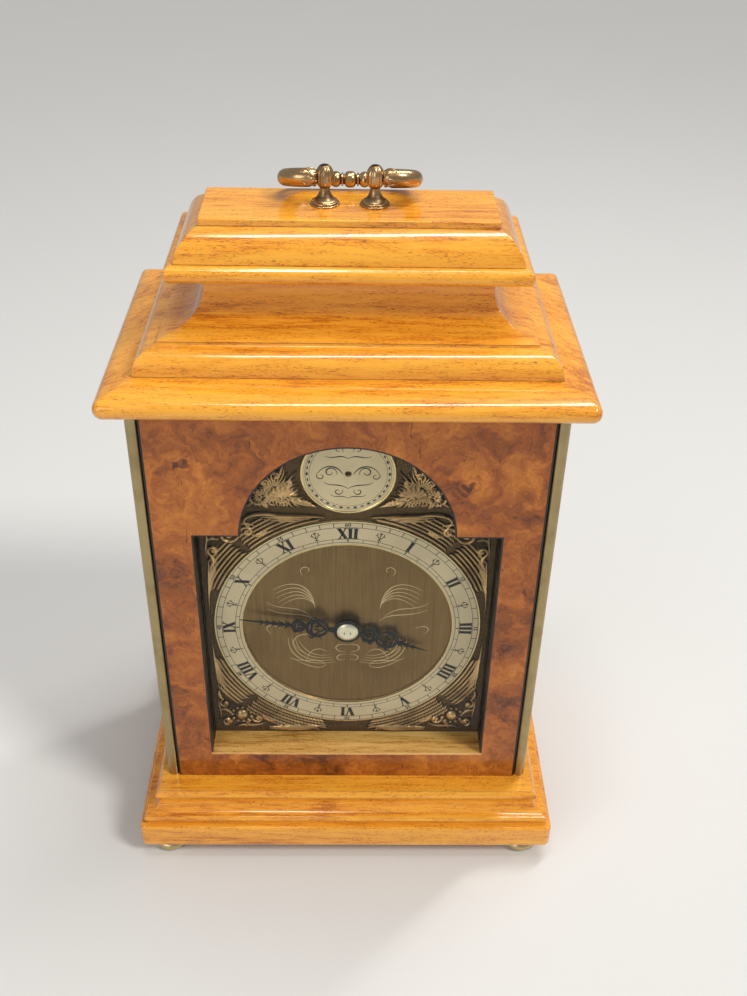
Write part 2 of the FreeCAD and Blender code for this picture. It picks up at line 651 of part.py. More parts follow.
def escape_wheel():
    """Escape wheel behind the back plate, with its pinion between the plates."""
    at = AT_ESCAPE
    body = arbor(at, GAP_FRONT + END_PLAY, BRIDGE_Y - END_PLAY, 0.55, 0.35, PLATE_T, BRIDGE_T)
    step = 2 * math.pi / ESCAPE_TEETH
    points = []
    for i in range(ESCAPE_TEETH):
        a = i * step
        for r, turn in ((3.9, 0.0), (ESCAPE_R, 0.62), (ESCAPE_R, 0.70), (3.9, 0.48)):
            points.append(Vector(r * math.cos(a + turn * step), 0, r * math.sin(a + turn * step)))
    ring = slab_from(Part.Face(Part.makePolygon(points + points[:1])), *ESCAPE_Y)
    crossing = tube(3.1, 1.3, ESCAPE_Y[0] - 1, ESCAPE_Y[1] + 1)
    for i in range(4):
        bar = box(-0.35, 0.35, ESCAPE_Y[0] - 1, ESCAPE_Y[1] + 1, 0, 4)
        bar.rotate(ORIGIN, Y, 90.0 * i)
        crossing = crossing.cut(bar)
    ring = ring.cut(crossing).translated(Vector(at[0], 0, at[1]))
    return fused([body, ring, pinion(FOURTH, at, PHASE["escape_pinion"], 4.4, 6.6)])


def beside_line(at, along, across):
    """Point near an arbor: along the line to the balance, and across it."""
    a = math.radians(ESCAPEMENT_ANGLE)
    return (at[0] + along * math.cos(a) - across * math.sin(a),
            at[1] + along * math.sin(a) + across * math.cos(a))


def pallet_lever():
    """Lever with two pallet arms towards the escape wheel and a fork towards the balance."""
    at = AT_LEVER
    outline = [(-1.1, 3.5), (-1.9, 3.3), (-0.9, 1.1), (-0.9, -1.1), (-1.9, -3.3), (-1.1, -3.5),
               (0.9, -1.0), (3.6, -0.35), (4.5, -1.0), (5.1, -0.9), (4.9, -0.4), (4.4, -0.3),
               (4.4, 0.3), (4.9, 0.4), (5.1, 0.9), (4.5, 1.0), (3.6, 0.35), (0.9, 1.0)]
    plate = flat_from([beside_line(at, u, v) for u, v in outline], *ESCAPE_Y)
    staff = arbor(at, 10.0 + END_PLAY, BRIDGE_Y - END_PLAY, 0.55, 0.35, PLATE_T, BRIDGE_T)
    return fused([plate, staff])


def balance_wheel():
    """Balance with two arms, on a staff with its roller and impulse pin."""
    at = AT_BALANCE
    rim = tube(6.2, 5.2, 13.9, 15.1, *at)
    bar = box(-5.4, 5.4, 14.2, 14.8, -0.6, 0.6)
    bar.rotate(ORIGIN, Y, 35)
    bar.translate(Vector(at[0], 0, at[1]))
    staff = arbor(at, 10.0 + END_PLAY, BRIDGE_Y - END_PLAY, 0.7, 0.35, PLATE_T, BRIDGE_T)
    roller = rod(2.0, 12.9, 13.5, *at)
    pin = rod(0.2, 12.4, 12.9, *beside_line(at, -1.7, 0.0))
    screws = []
    for i in range(4):
        x, z = offset(at, 6.3, 80 + 90 * i)
        screws.append(rod(0.5, 14.1, 14.9, x, z))
    return fused([rim, bar, staff, roller, pin] + screws)


def hairspring():
    """Flat spiral of half circles from the staff's collet outwards."""
    half_turns, inner, growth, width = 6, 1.0, 0.45, 0.16
    centre, radius, sign = 0.0, inner, 1
    edges = {0: [], 1: []}
    for _ in range(half_turns):
        for side in (0, 1):
            r = radius + side * width
            ends = [Vector(centre + sign * r, 0, 0), Vector(centre - sign * r, 0, 0)]
            edges[side].append(Part.Arc(ends[0], Vector(centre, 0, sign * r), ends[1]).toShape())
        centre += sign * growth
        radius += growth
        sign = -sign
    caps = [Part.makeLine(edges[0][k].Vertexes[k].Point, edges[1][k].Vertexes[k].Point)
            for k in (0, -1)]
    face = Part.Face(Part.Wire(Part.__sortEdges__(edges[0] + edges[1] + caps)))
    strip = slab_from(face, 15.7, 16.2)
    collet = tube(inner + 0.1, 0.7, 15.6, 16.3)
    return fused([strip, collet]).translated(Vector(AT_BALANCE[0], 0, AT_BALANCE[1]))


BRIDGE_FEET = [beside_line(AT_ESCAPE, -8.0, 2.0), beside_line(AT_BALANCE, 2.0, 11.0),
               beside_line(AT_BALANCE, 2.0, -11.0)]


def balance_bridge():
    """Three-footed bridge that carries the rear pivots of the escapement."""
    y0, y1 = BRIDGE_Y, BRIDGE_Y + BRIDGE_T
    arms = []
    hub = AT_BALANCE
    for foot in BRIDGE_FEET:
        length = math.dist(foot, hub)
        bar = box(0, length, y0, y1, -1.8, 1.8)
        bar.rotate(ORIGIN, Y, -bearing(hub, foot))
        arms.append(bar.translated(Vector(hub[0], 0, hub[1])))
        arms.append(rod(2.3, BACK_PLATE + PLATE_T, y1, *foot))
    along = bearing(AT_ESCAPE, AT_BALANCE)
    spine = box(0, math.dist(AT_ESCAPE, hub), y0, y1, -2.0, 2.0)
    spine.rotate(ORIGIN, Y, -along)
    arms.append(spine.translated(Vector(AT_ESCAPE[0], 0, AT_ESCAPE[1])))
    arms += [rod(2.6, y0, y1, *at) for at in (AT_ESCAPE, hub)]
    body = fused(arms)
    for at in (AT_ESCAPE, AT_LEVER, AT_BALANCE):
        body = body.cut(rod(0.35 + FIT, y0 - 1, y1 + 1, *at))
    return body


# ---------------------------------------------------------------- power and winding
BARREL_ARBOR_R, SQUARE = 2.2, 3.0
RATCHET_TEETH, RATCHET_R = 24, 7.6
RATCHET_Y = (10.3, 11.7)
AT_CLICK = (AT_BARREL[0] + 7.8, AT_BARREL[1] + 9.3)


def mainspring_barrel():
    """Going barrel with the great wheel cut on its rear edge."""
    at = AT_BARREL
    drum = rod(17.2, -12.5, -1.0, *at)
    ring = slab_from(wheel_face(GREAT, PHASE["great"]), -1.0, 0.8).translated(Vector(at[0], 0, at[1]))
    body = drum.fuse(ring)
    return body.cut(rod(BARREL_ARBOR_R + FIT, -15, 3, *at)).removeSplitter()


def winding_arbor():
    """Barrel arbor, with a square behind the back plate for the key."""
    at = AT_BARREL
    shaft = rod(BARREL_ARBOR_R, GAP_FRONT + END_PLAY, 13.5, *at)
    front = rod(1.5, FRONT_PLATE, GAP_FRONT + END_PLAY, *at)
    half = SQUARE / 2
    square = box(at[0] - half, at[0] + half, 13.5, 24.0, at[1] - half, at[1] + half)
    return fused([shaft, front, square])


def ratchet_wheel():
    step = 2 * math.pi / RATCHET_TEETH
    points = []
    for i in range(RATCHET_TEETH):
        for r, turn in ((RATCHET_R - 1.1, 0.0), (RATCHET_R, 0.1)):
            a = (i + turn) * step
            points.append(Vector(r * math.cos(a), 0, r * math.sin(a)))
    disc = slab_from(Part.Face(Part.makePolygon(points + points[:1])), *RATCHET_Y)
    disc = disc.cut(rod(BARREL_ARBOR_R, 8, 14))
    return disc.translated(Vector(AT_BARREL[0], 0, AT_BARREL[1]))


def click():
    """Click lifted clear of the ratchet, on its stud."""
    x, z = AT_CLICK
    outline = [(-9.7, -1.7), (-9.9, -0.1), (-6.0, 2.2), (0.0, 1.8), (0.0, -1.8), (-5.5, 0.6),
               (-8.6, 0.2)]
    arm = flat_from([(x + dx, z + dz) for dx, dz in outline], *RATCHET_Y)
    body = fused([arm, rod(1.8, RATCHET_Y[0], RATCHET_Y[1], x, z)])
    return body.cut(rod(0.8 + FIT, 8, 14, x, z))


# ---------------------------------------------------------------- plates and motion work
def movement_plate(y0, holes):
    """Rectangular plate with its pivot holes, as (arbor, hole radius) pairs."""
    y1 = y0 + PLATE_T
    plate = box(-PLATE_X, PLATE_X, y0, y1, PLATE_BOTTOM, PLATE_TOP)
    for at, radius in holes:
        plate = plate.cut(rod(radius, y0 - 1, y1 + 1, *at))
    return plate


def front_plate():
    """Plate behind the dial, with the stud that the minute wheel turns on."""
    pivot = PIVOT_R + FIT
    holes = [(AT_INTERMEDIATE, pivot), (AT_THIRD, pivot), (AT_FOURTH, pivot), (AT_ESCAPE, 0.35 + FIT),
             (AT_BARREL, 1.5 + FIT), (AT_CENTRE, ARBOR_CENTRE_R + FIT)]
    stud = rod(1.0, -22.2, FRONT_PLATE, *AT_MINUTE_WHEEL)
    return movement_plate(FRONT_PLATE, holes).fuse(stud).removeSplitter()


def back_plate():
    """Rear plate, with the stud that the click turns on."""
    pivot = PIVOT_R + FIT
    thin = 0.35 + FIT
    holes = [(AT_INTERMEDIATE, pivot), (AT_THIRD, pivot), (AT_FOURTH, pivot), (AT_ESCAPE, 1.6),
             (AT_BARREL, BARREL_ARBOR_R + FIT), (AT_CENTRE, ARBOR_CENTRE_R + FIT),
             (AT_LEVER, thin), (AT_BALANCE, thin)]
    stud = turned([(0.8, 0.0), (0.8, 2.0), (1.7, 2.0), (1.7, 2.7)],
                  Vector(AT_CLICK[0], BACK_PLATE + PLATE_T, AT_CLICK[1]), Y)
    return movement_plate(BACK_PLATE, holes).fuse(stud).removeSplitter()


def plate_pillars():
    """Four turned pillars with collars at their ends."""
    long = GAP_REAR - GAP_FRONT
    collar, neck = PILLAR_R + 0.8, PILLAR_R - 0.6
    profile = [(collar, 0), (collar, 1.2), (neck, 1.8), (PILLAR_R, long / 2), (neck, long - 1.8),
               (collar, long - 1.2), (collar, long)]
    return group([turned(profile, Vector(sx * PILLAR_X, GAP_FRONT, z), Y) for sx in (-1, 1)
                  for z in PILLAR_Z])


def centre_arbor():
    """Arbor that carries the cannon pinion in front and the setting knob behind."""
    return rod(ARBOR_CENTRE_R, NUT_Y, 24.0, *AT_CENTRE)


def cannon_pinion():
    at = AT_CENTRE
    teeth = pinion(MOTION_MINUTE, at, PHASE["cannon"], -18.8, -16.6)
    body = fused([rod(CANNON_R, NUT_Y, -16.6, *at), teeth])
    return body.cut(rod(ARBOR_CENTRE_R, -30, -10, *at))


def minute_wheel():
    at = AT_MINUTE_WHEEL
    body = fused([wheel(MOTION_MINUTE, at, PHASE["minute"], -18.2, -17.2, 4, 1.6),
                  pinion(MOTION_HOUR, at, PHASE["minute_pinion"], -21.6, -18.2),
                  rod(1.7, -18.2, -16.4, *at)])
    return body.cut(rod(1.0 + FIT, -23, -15, *at))


def hour_wheel():
    at = AT_CENTRE
    disc = slab_from(wheel_face(MOTION_HOUR, PHASE["hour"]), -21.0, -20.0)
    disc = disc.translated(Vector(at[0], 0, at[1]))
    body = fused([disc, rod(HOUR_PIPE_R, HOUR_Y - HAND_T - 0.2, -20.0, *at)])
    return body.cut(rod(CANNON_R + FIT, -30, -10, *at))


def setting_knob():
    """Knurled knob that sets the hands from behind."""
    knob = turned([(2.4, 0), (2.4, 1.4), (4.8, 1.4), ((5.2, 3.2), (4.8, 5.0)), (2.0, 5.4)],
                  Vector(0, 18.6, CENTRE_Z), Y)
    return knob.cut(rod(ARBOR_CENTRE_R, 10, 30, *AT_CENTRE))


# ---------------------------------------------------------------- build
NODES = {
    "bun_feet": bun_feet, "plinth_slab": plinth_slab, "plinth_moulding": plinth_moulding,
    "side_panels": side_panels, "front_mask": front_mask, "reveal_lining": reveal_lining,
    "dial_sill": dial_sill, "viewing_glass": viewing_glass, "glass_retainer": glass_retainer,
    "corner_strips": corner_strips, "corner_columns": corner_columns, "seat_board": seat_board,
    "rear_frame": rear_frame, "rear_door": rear_door, "rear_door_glass": rear_door_glass,
    "hinge_case_leaves": hinge_case_leaves, "hinge_door_leaves": hinge_door_leaves,
    "hinge_pins": hinge_pins, "door_knob": door_knob, "turn_button": turn_button,
    "turn_button_stud": turn_button_stud,
    "cornice_board": cornice_board, "cornice_ovolo": cornice_ovolo, "bell_cove": bell_cove,
    "caddy_slab": caddy_slab, "caddy_cushion": caddy_cushion, "top_panel": top_panel,
    "handle_posts": handle_posts, "bail": bail,
    "dial_plate": dial_plate, "chapter_ring": chapter_ring, "corner_spandrels": corner_spandrels,
    "arch_spandrels": arch_spandrels, "arch_disc": arch_disc, "arch_disc_rim": arch_disc_rim,
    "hour_hand": hour_hand, "minute_hand": minute_hand, "hand_nut": hand_nut,
    "dial_feet": dial_feet,
    "front_plate": front_plate, "back_plate": back_plate, "plate_pillars": plate_pillars,
    "mainspring_barrel": mainspring_barrel, "winding_arbor": winding_arbor,
    "ratchet_wheel": ratchet_wheel, "click": click,
    "intermediate_wheel": intermediate_wheel, "centre_wheel": centre_wheel,
    "third_wheel": third_wheel, "fourth_wheel": fourth_wheel, "escape_wheel": escape_wheel,
    "pallet_lever": pallet_lever, "balance_wheel": balance_wheel, "hairspring": hairspring,
    "balance_bridge": balance_bridge, "centre_arbor": centre_arbor,
    "cannon_pinion": cannon_pinion, "minute_wheel": minute_wheel, "hour_wheel": hour_wheel,
    "setting_knob": setting_knob,
}


def main():
    os.makedirs("parts", exist_ok=True)
    for name, build in NODES.items():
        shape = build().translated(Vector(0, -FORWARD, 0))
        solids = len(shape.Solids)
        print(f"{name}: solids {solids}, volume {shape.Volume:.1f}, valid {shape.isValid()}")
        shape.exportStep(f"parts/{name}.step")


main()
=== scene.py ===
"""Looks of a small bracket timepiece: polished walnut case, burr front, brass dial and handle.

Sizes are millimetres: +Z up, the dial faces -Y, the base stands on Z = 0. They are drawn from
the middle of the plinth's front part, and FORWARD moves them to the frame's origin, the centre
of the base. Meshes are written in metres.
"""
from __future__ import annotations

import logging
import math
from dataclasses import dataclass, field
from enum import Enum
from typing import Any, Callable, Iterable, Sequence

import bmesh
import bpy
import numpy as np
from mathutils import Matrix, Vector


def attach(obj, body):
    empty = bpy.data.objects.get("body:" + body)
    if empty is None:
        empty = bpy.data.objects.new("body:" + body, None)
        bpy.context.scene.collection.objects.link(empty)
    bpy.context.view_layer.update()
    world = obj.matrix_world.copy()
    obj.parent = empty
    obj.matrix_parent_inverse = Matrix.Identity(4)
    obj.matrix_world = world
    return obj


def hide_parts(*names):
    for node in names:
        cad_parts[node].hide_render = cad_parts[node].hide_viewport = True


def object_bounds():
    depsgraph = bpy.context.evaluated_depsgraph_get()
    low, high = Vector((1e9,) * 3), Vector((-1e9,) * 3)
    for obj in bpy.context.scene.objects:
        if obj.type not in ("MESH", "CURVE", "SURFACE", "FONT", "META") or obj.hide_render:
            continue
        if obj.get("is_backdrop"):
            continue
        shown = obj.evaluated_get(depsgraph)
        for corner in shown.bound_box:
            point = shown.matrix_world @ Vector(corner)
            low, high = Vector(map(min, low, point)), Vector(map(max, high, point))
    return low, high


logging.basicConfig(level=logging.INFO, format="%(message)s")
LOG = logging.getLogger("bracket_clock")

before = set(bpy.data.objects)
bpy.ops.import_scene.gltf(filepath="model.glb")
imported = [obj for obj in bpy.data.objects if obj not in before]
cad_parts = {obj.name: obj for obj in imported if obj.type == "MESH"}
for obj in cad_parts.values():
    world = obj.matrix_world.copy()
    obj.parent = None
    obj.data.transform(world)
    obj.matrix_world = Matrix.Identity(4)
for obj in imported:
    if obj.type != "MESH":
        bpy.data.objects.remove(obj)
CAD_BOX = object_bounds()

MM = 0.001
FORWARD = 3.5
Pair = tuple[float, float]
Colour = tuple[float, float, float]
Place = Callable[[float, float, float], Vector]


# ---------------------------------------------------------------- shader graph
class Signal:
    """Output socket of a node. Arithmetic on it adds Math nodes."""

    def __init__(self, graph: "Graph", socket: bpy.types.NodeSocket) -> None:
        """Wrap a socket of a graph."""
        self.graph = graph
        self.socket = socket

    def _with(self, operation: str, first: Any, second: Any) -> "Signal":
        """Result of a Math node on two values or signals."""
        return self.graph.node("ShaderNodeMath", {"operation": operation}, {0: first, 1: second})

    def __add__(self, other: Any) -> "Signal":
        """Sum."""
        return self._with("ADD", self, other)

    def __radd__(self, other: Any) -> "Signal":
        """Sum with a number on the left."""
        return self._with("ADD", other, self)

    def __sub__(self, other: Any) -> "Signal":
        """Difference."""
        return self._with("SUBTRACT", self, other)

    def __rsub__(self, other: Any) -> "Signal":
        """Difference from a number."""
        return self._with("SUBTRACT", other, self)

    def __mul__(self, other: Any) -> "Signal":
        """Product."""
        return self._with("MULTIPLY", self, other)

    def __rmul__(self, other: Any) -> "Signal":
        """Product with a number on the left."""
        return self._with("MULTIPLY", other, self)

    def wave(self) -> "Signal":
        """Sine."""
        return self._with("SINE", self, 0.0)

    def size(self) -> "Signal":
        """Absolute value."""
        return self._with("ABSOLUTE", self, 0.0)

    def least(self, other: Any) -> "Signal":
        """Smaller of two values."""
        return self._with("MINIMUM", self, other)

    def step(self, low: float, high: float) -> "Signal":
        """Smooth rise from zero at low to one at high, or a fall if low is above high.

        Args:
            low: Where it starts.
            high: Where it is complete.

        Returns:
            Signal from zero to one.
        """
        settings = {"interpolation_type": "SMOOTHSTEP"}
        if low <= high:
            return self.graph.node("ShaderNodeMapRange", settings,
                                   {"Value": self, "From Min": low, "From Max": high})
        ends = {"To Min": 1.0, "To Max": 0.0}
        return self.graph.node("ShaderNodeMapRange", settings,
                               {"Value": self, "From Min": high, "From Max": low, **ends})


class Graph:
    """Node graph of one material."""

    def __init__(self, name: str) -> None:
        """Start an empty material.

        Args:
            name: Name of the material.
        """
        self.material = bpy.data.materials.new(name)
        self.material.use_nodes = True
        self.tree = self.material.node_tree
        self.tree.nodes.clear()

    def node(self, kind: str, settings: dict[str, Any], inputs: dict[Any, Any],
             output: str | int = 0) -> Signal:
        """Add a node.

        Args:
            kind: Blender's node type.
            settings: Its properties, set first. "stops" are a ramp's (position, colour) pairs.
            inputs: Values or signals by socket name or number.
            output: Socket to return.

        Returns:
            The chosen output.
        """
        made = self.tree.nodes.new(kind)
        for key, value in settings.items():
            if key == "stops":
                self._set_stops(made.color_ramp, value)
            else:
                setattr(made, key, value)
        for key, value in inputs.items():
            if isinstance(value, Signal):
                self.tree.links.new(value.socket, made.inputs[key])
            else:
                made.inputs[key].default_value = value
        outputs = [s for s in made.outputs if s.enabled] if isinstance(output, int) else made.outputs
        return Signal(self, outputs[output]) if len(made.outputs) else Signal(self, None)

    @staticmethod
    def _set_stops(ramp: bpy.types.ColorRamp, stops: Sequence[tuple[float, Colour]]) -> None:
        """Give a ramp its stops.

        Args:
            ramp: The ramp.
            stops: (position, colour) pairs.
        """
        while len(ramp.elements) < len(stops):
            ramp.elements.new(1.0)
        for element, (position, colour) in zip(ramp.elements, stops):
            element.position = position
            element.color = (*colour, 1.0)

    def place(self, shift: Sequence[float] = (0, 0, 0), scale: Sequence[float] = (1, 1, 1)) -> Signal:
        """Position on the piece, moved and then scaled per metre."""
        where = self.node("ShaderNodeTexCoord", {}, {}, "Object")
        return self.node("ShaderNodeMapping", {}, {"Vector": where, "Location": shift, "Scale": scale})

    def noise(self, where: Signal, scale: float = 1.0, detail: float = 3.0, rough: float = 0.55,
              distortion: float = 0.0, output: str = "Fac") -> Signal:
        """Fractal noise at a position.

        Args:
            where: Position.
            scale: Cells in a metre.
            detail: Octaves.
            rough: Weight of the finer octaves.
            distortion: How far the cells are bent.
            output: "Fac" or "Color".

        Returns:
            The noise, from zero to one.
        """
        inputs = {"Vector": where, "Scale": scale, "Detail": detail, "Roughness": rough,
                  "Distortion": distortion}
        return self.node("ShaderNodeTexNoise", {}, inputs, output)

    def ramp(self, value: Signal, stops: Sequence[tuple[float, Colour]]) -> Signal:
        """Colour from a value."""
        return self.node("ShaderNodeValToRGB", {"stops": stops}, {"Fac": value}, "Color")

    def blend(self, share: Any, first: Any, second: Any, mode: str = "MIX") -> Signal:
        """Mix of two colours.

        Args:
            share: Share of the second colour.
            first: Colour or signal.
            second: Colour or signal.
            mode: Blending mode.

        Returns:
            The mixed colour.
        """
        pair = [(*c, 1.0) if isinstance(c, tuple) else c for c in (first, second)]
        settings = {"data_type": "RGBA", "blend_type": mode}
        return self.node("ShaderNodeMix", settings, {0: share, 6: pair[0], 7: pair[1]}, "Result")

    def vector(self, operation: str, *inputs: Any, output: str = "Vector") -> Signal:
        """Vector Math node on two or three values or signals."""
        return self.node("ShaderNodeVectorMath", {"operation": operation}, dict(enumerate(inputs)), output)

    def facing(self, axis: str) -> Signal:
        """How squarely the surface faces along an axis, from zero to one."""
        normal = self.node("ShaderNodeNewGeometry", {}, {}, "Normal")
        return self.node("ShaderNodeSeparateXYZ", {}, {"Vector": normal}, axis).size()

    def bump(self, height: Signal, strength: float, depth: float) -> Signal:
        """Normal from a height, in metres of depth."""
        inputs = {"Height": height, "Strength": strength, "Distance": depth}
        return self.node("ShaderNodeBump", {}, inputs, "Normal")

    def close(self, **sockets: Any) -> bpy.types.Material:
        """Finish with a Principled surface; names use underscores for spaces.

        Args:
            **sockets: Values or signals of the Principled shader.

        Returns:
            The finished material.
        """
        inputs = {}
        for key, value in sockets.items():
            inputs[key.replace("_", " ")] = (*value, 1.0) if isinstance(value, tuple) else value
        surface = self.node("ShaderNodeBsdfPrincipled", {}, inputs)
        return self.output(surface)

    def output(self, surface: Signal) -> bpy.types.Material:
        """Connect a shader to the material's output."""
        self.node("ShaderNodeOutputMaterial", {}, {"Surface": surface})
        return self.material


# ---------------------------------------------------------------- finishes
class Grain(Enum):
    """Axis that the grain of a board runs along, as scales along X, Y and Z."""

    ACROSS = (1.0, 12.0, 12.0)
    UPRIGHT = (12.0, 12.0, 1.0)


@dataclass(frozen=True)
class Finish:
    """Finish of a piece; each kind makes its material once."""

    name: str

    def material(self) -> bpy.types.Material:
        """Material of this finish, made on first use."""
        title = f"{self.name} finish"
        return bpy.data.materials.get(title) or self.paint(Graph(title))

    def paint(self, graph: Graph) -> bpy.types.Material:
        """Fill an empty graph."""
        raise NotImplementedError


@dataclass(frozen=True)
class PolishedWood(Finish):
    """Glossy open-pored timber, with dark lines at given heights: partly real glue lines, partly painted
    shade in the crevices.
    """

    pale: Colour
    mid: Colour
    deep: Colour
    grain: Grain
    seams: tuple[float, ...] = ()
    seed: float = 0.0
    gloss: float = 0.24

    def paint(self, graph: Graph) -> bpy.types.Material:
        """Soft bands, fine streaks and many short pores, stretched along the grain.

        Args:
            graph: Empty graph to fill.

        Returns:
            The material.
        """
        shift = (self.seed, 0.37 * self.seed, 0.71 * self.seed)
        base = graph.place(shift, self.grain.value)
        band = graph.noise(base, 9.0, 3.0, 0.55, 0.2)
        streak = graph.noise(base, 46.0, 5.0, 0.66)
        fibre = graph.noise(base, 150.0, 3.0, 0.7)
        pore = graph.noise(graph.place(shift, [s ** 0.62 * 1.6 for s in self.grain.value]), 470.0, 1.0, 0.5)
        cloud = graph.noise(graph.place(shift), 24.0, 2.0)
        tone = band * 0.34 + streak * 0.40 + fibre * 0.26
        colour = graph.ramp(tone, [(0.40, self.deep), (0.47, self.mid), (0.56, self.pale)])
        colour = graph.blend(cloud.step(0.45, 0.75) * 0.25, colour, self.mid)
        colour = graph.blend(graph.facing(self.end_axis()).step(0.30, 0.95) * 0.5, colour, self.deep)
        pores = pore.step(0.555, 0.66) * streak.step(0.62, 0.42)
        dark = tuple(0.34 * c for c in self.deep)
        colour = graph.blend(pores * 0.60, colour, dark)
        # Dark lines at joins and grooves: partly real glue lines, partly painted crevice shade.
        glue_and_shade_mask = self.glue_lines(graph)
        if glue_and_shade_mask is not None:
            colour = graph.blend(glue_and_shade_mask * 0.85, colour, dark)
        rough = self.gloss + streak * 0.12 + pores * 0.2
        normal = graph.bump(1 - pores * 0.8 - fibre * 0.2, 0.22, 0.00006)
        return graph.close(Base_Color=colour, Roughness=rough, Normal=normal, IOR=1.5,
                           Specular_IOR_Level=0.2, Coat_Weight=1.0, Coat_Roughness=0.11, Coat_IOR=1.5)

    def end_axis(self) -> str:
        """Axis that the grain runs along, which end grain faces."""
        return "XYZ"[self.grain.value.index(min(self.grain.value))]

    def glue_lines(self, graph: Graph) -> Signal | None:
        """Mask of the dark lines at the joins and grooves: partly real glue lines, partly painted shade in
        the crevices.

        Args:
            graph: Graph of the material.

        Returns:
            The mask, or None for timber with no joins.
        """
        if not self.seams:
            return None
        where = graph.node("ShaderNodeTexCoord", {}, {}, "Object")
        height = graph.node("ShaderNodeSeparateXYZ", {}, {"Vector": where}, "Z")
        wobble = graph.noise(graph.place(), 300.0, 2.0) * 0.0005
        lines = [((height - z * MM).size() + wobble).step(0.00075, 0.00020) for z in self.seams]
        total = lines[0]
        for line in lines[1:]:
            total = total + line
        return (total * (1 - graph.facing("Z").step(0.55, 0.95))).least(1.0)


@dataclass(frozen=True)
class BurrVeneer(Finish):
    """Swirling burr with pores, short cracks and a few eyes."""

    pale: Colour
    mid: Colour
    deep: Colour
    eyes: tuple[tuple[float, float, float], ...]

    def paint(self, graph: Graph) -> bpy.types.Material:
        """Warped figure, rings round each eye, dots and cracks.

        Args:
            graph: Empty graph to fill.

        Returns:
            The material.
        """
        base = graph.place()
        warp = graph.vector("SUBTRACT", graph.noise(base, 42.0, 4.0, 0.6, 0.0, "Color"), (0.5, 0.5, 0.5))
        bent = graph.vector("MULTIPLY_ADD", warp, (0.034, 0.034, 0.034), base)
        figure = graph.noise(bent, 60.0, 6.0, 0.60, 1.2)
        cloud = graph.noise(base, 17.0, 3.0, 0.55)
        curl = graph.noise(bent, 480.0, 4.0, 0.6, 0.6)
        tone = figure * 0.46 + cloud * 0.34 + curl * 0.20
        tone = tone + self.rings(graph, base, figure)
        colour = graph.ramp(tone, [(0.38, self.deep), (0.50, self.mid), (0.61, self.pale)])
        cells = {"Vector": bent, "Scale": 900.0}
        dots = graph.node("ShaderNodeTexVoronoi", {"feature": "F1"}, cells, "Distance")
        pores = dots.step(0.26, 0.10) * graph.noise(base, 150.0, 2.0).step(0.45, 0.62)
        split = graph.noise(graph.place((0.3, 0.0, 0.1), (10.0, 10.0, 1.6)), 60.0, 4.0, 0.55, 1.2)
        cracks = split.step(0.645, 0.70) * cloud.step(0.44, 0.56)
        dark = tuple(0.16 * c for c in self.deep)
        marks = (pores * 0.6 + cracks * 0.9).least(1.0)
        colour = graph.blend(marks * 0.75, colour, dark)
        normal = graph.bump(1 - marks, 0.22, 0.00006)
        return graph.close(Base_Color=colour, Roughness=0.30 + curl * 0.14, Normal=normal, IOR=1.5,
                           Specular_IOR_Level=0.2, Coat_Weight=0.55, Coat_Roughness=0.13, Coat_IOR=1.5)

    def rings(self, graph: Graph, base: Signal, figure: Signal) -> Signal:
        """Wavering growth rings that fade away from each eye: x, z and radius in millimetres.

        Args:
            graph: Graph of the material.
            base: Position on the piece.
            figure: Noise that wavers the rings.

        Returns:
            Amount to add to the tone.
        """
        total: Any = 0.0
        flat = graph.vector("MULTIPLY", base, (1.0, 0.0, 1.0))
        for x, z, radius in self.eyes:
            away = graph.vector("DISTANCE", flat, (x * MM, 0.0, z * MM), output="Value") * (1 / MM)
            away = away + (figure - 0.5) * 13.0
            near = away.step(radius, radius * 0.2)
            wave = (away * 2.7).wave() * 0.05
            core = away.step(radius * 0.42, 0.0) * -0.15
            total = wave * near + core + total
        return total


class Brush(Enum):
    """Direction of the scratches that a metal was finished with, as scales along X, Y and Z."""

    NONE = (1.0, 1.0, 1.0)
    UPRIGHT = (60.0, 60.0, 1.0)


@dataclass(frozen=True)
class Metal(Finish):
    """Metal with scratches, tarnish, and recesses darkened where the relief attribute is low: partly patina,
    partly painted shade.
    """

    bright: Colour
    dull: Colour
    rough: float
    brush: Brush = Brush.NONE
    hollows: bool = False
    tarnish: float = 0.5

    def paint(self, graph: Graph) -> bpy.types.Material:
        """Tarnish patches over a brushed or polished metal.

        Args:
            graph: Empty graph to fill.

        Returns:
            The material.
        """
        patch = graph.noise(graph.place(), 85.0, 4.0, 0.6)
        speck = graph.noise(graph.place(), 700.0, 2.0, 0.6)
        scratch = graph.noise(graph.place((0.1, 0.2, 0.3), self.brush.value), 85.0, 3.0, 0.7)
        stain = patch.step(0.42, 0.72) * self.tarnish + speck.step(0.55, 0.8) * 0.22
        colour: Any = graph.blend(stain.least(1.0), self.bright, self.dull)
        rough: Any = self.rough + scratch * 0.16 + stain * 0.16
        if self.hollows:
            # Painted shade with some patina: the colour darkens to near black where the relief attribute is
            # low.
            height = graph.node("ShaderNodeAttribute", {"attribute_name": "relief"}, {}, "Fac")
            shade = height.step(0.70, 0.28)
            colour = graph.blend(shade * 0.93, colour, tuple(0.13 * c for c in self.dull))
            rough = rough + shade * 0.25
        normal = graph.bump(scratch, 0.12, 0.00005)
        return graph.close(Base_Color=colour, Metallic=1.0, Roughness=rough, Normal=normal)


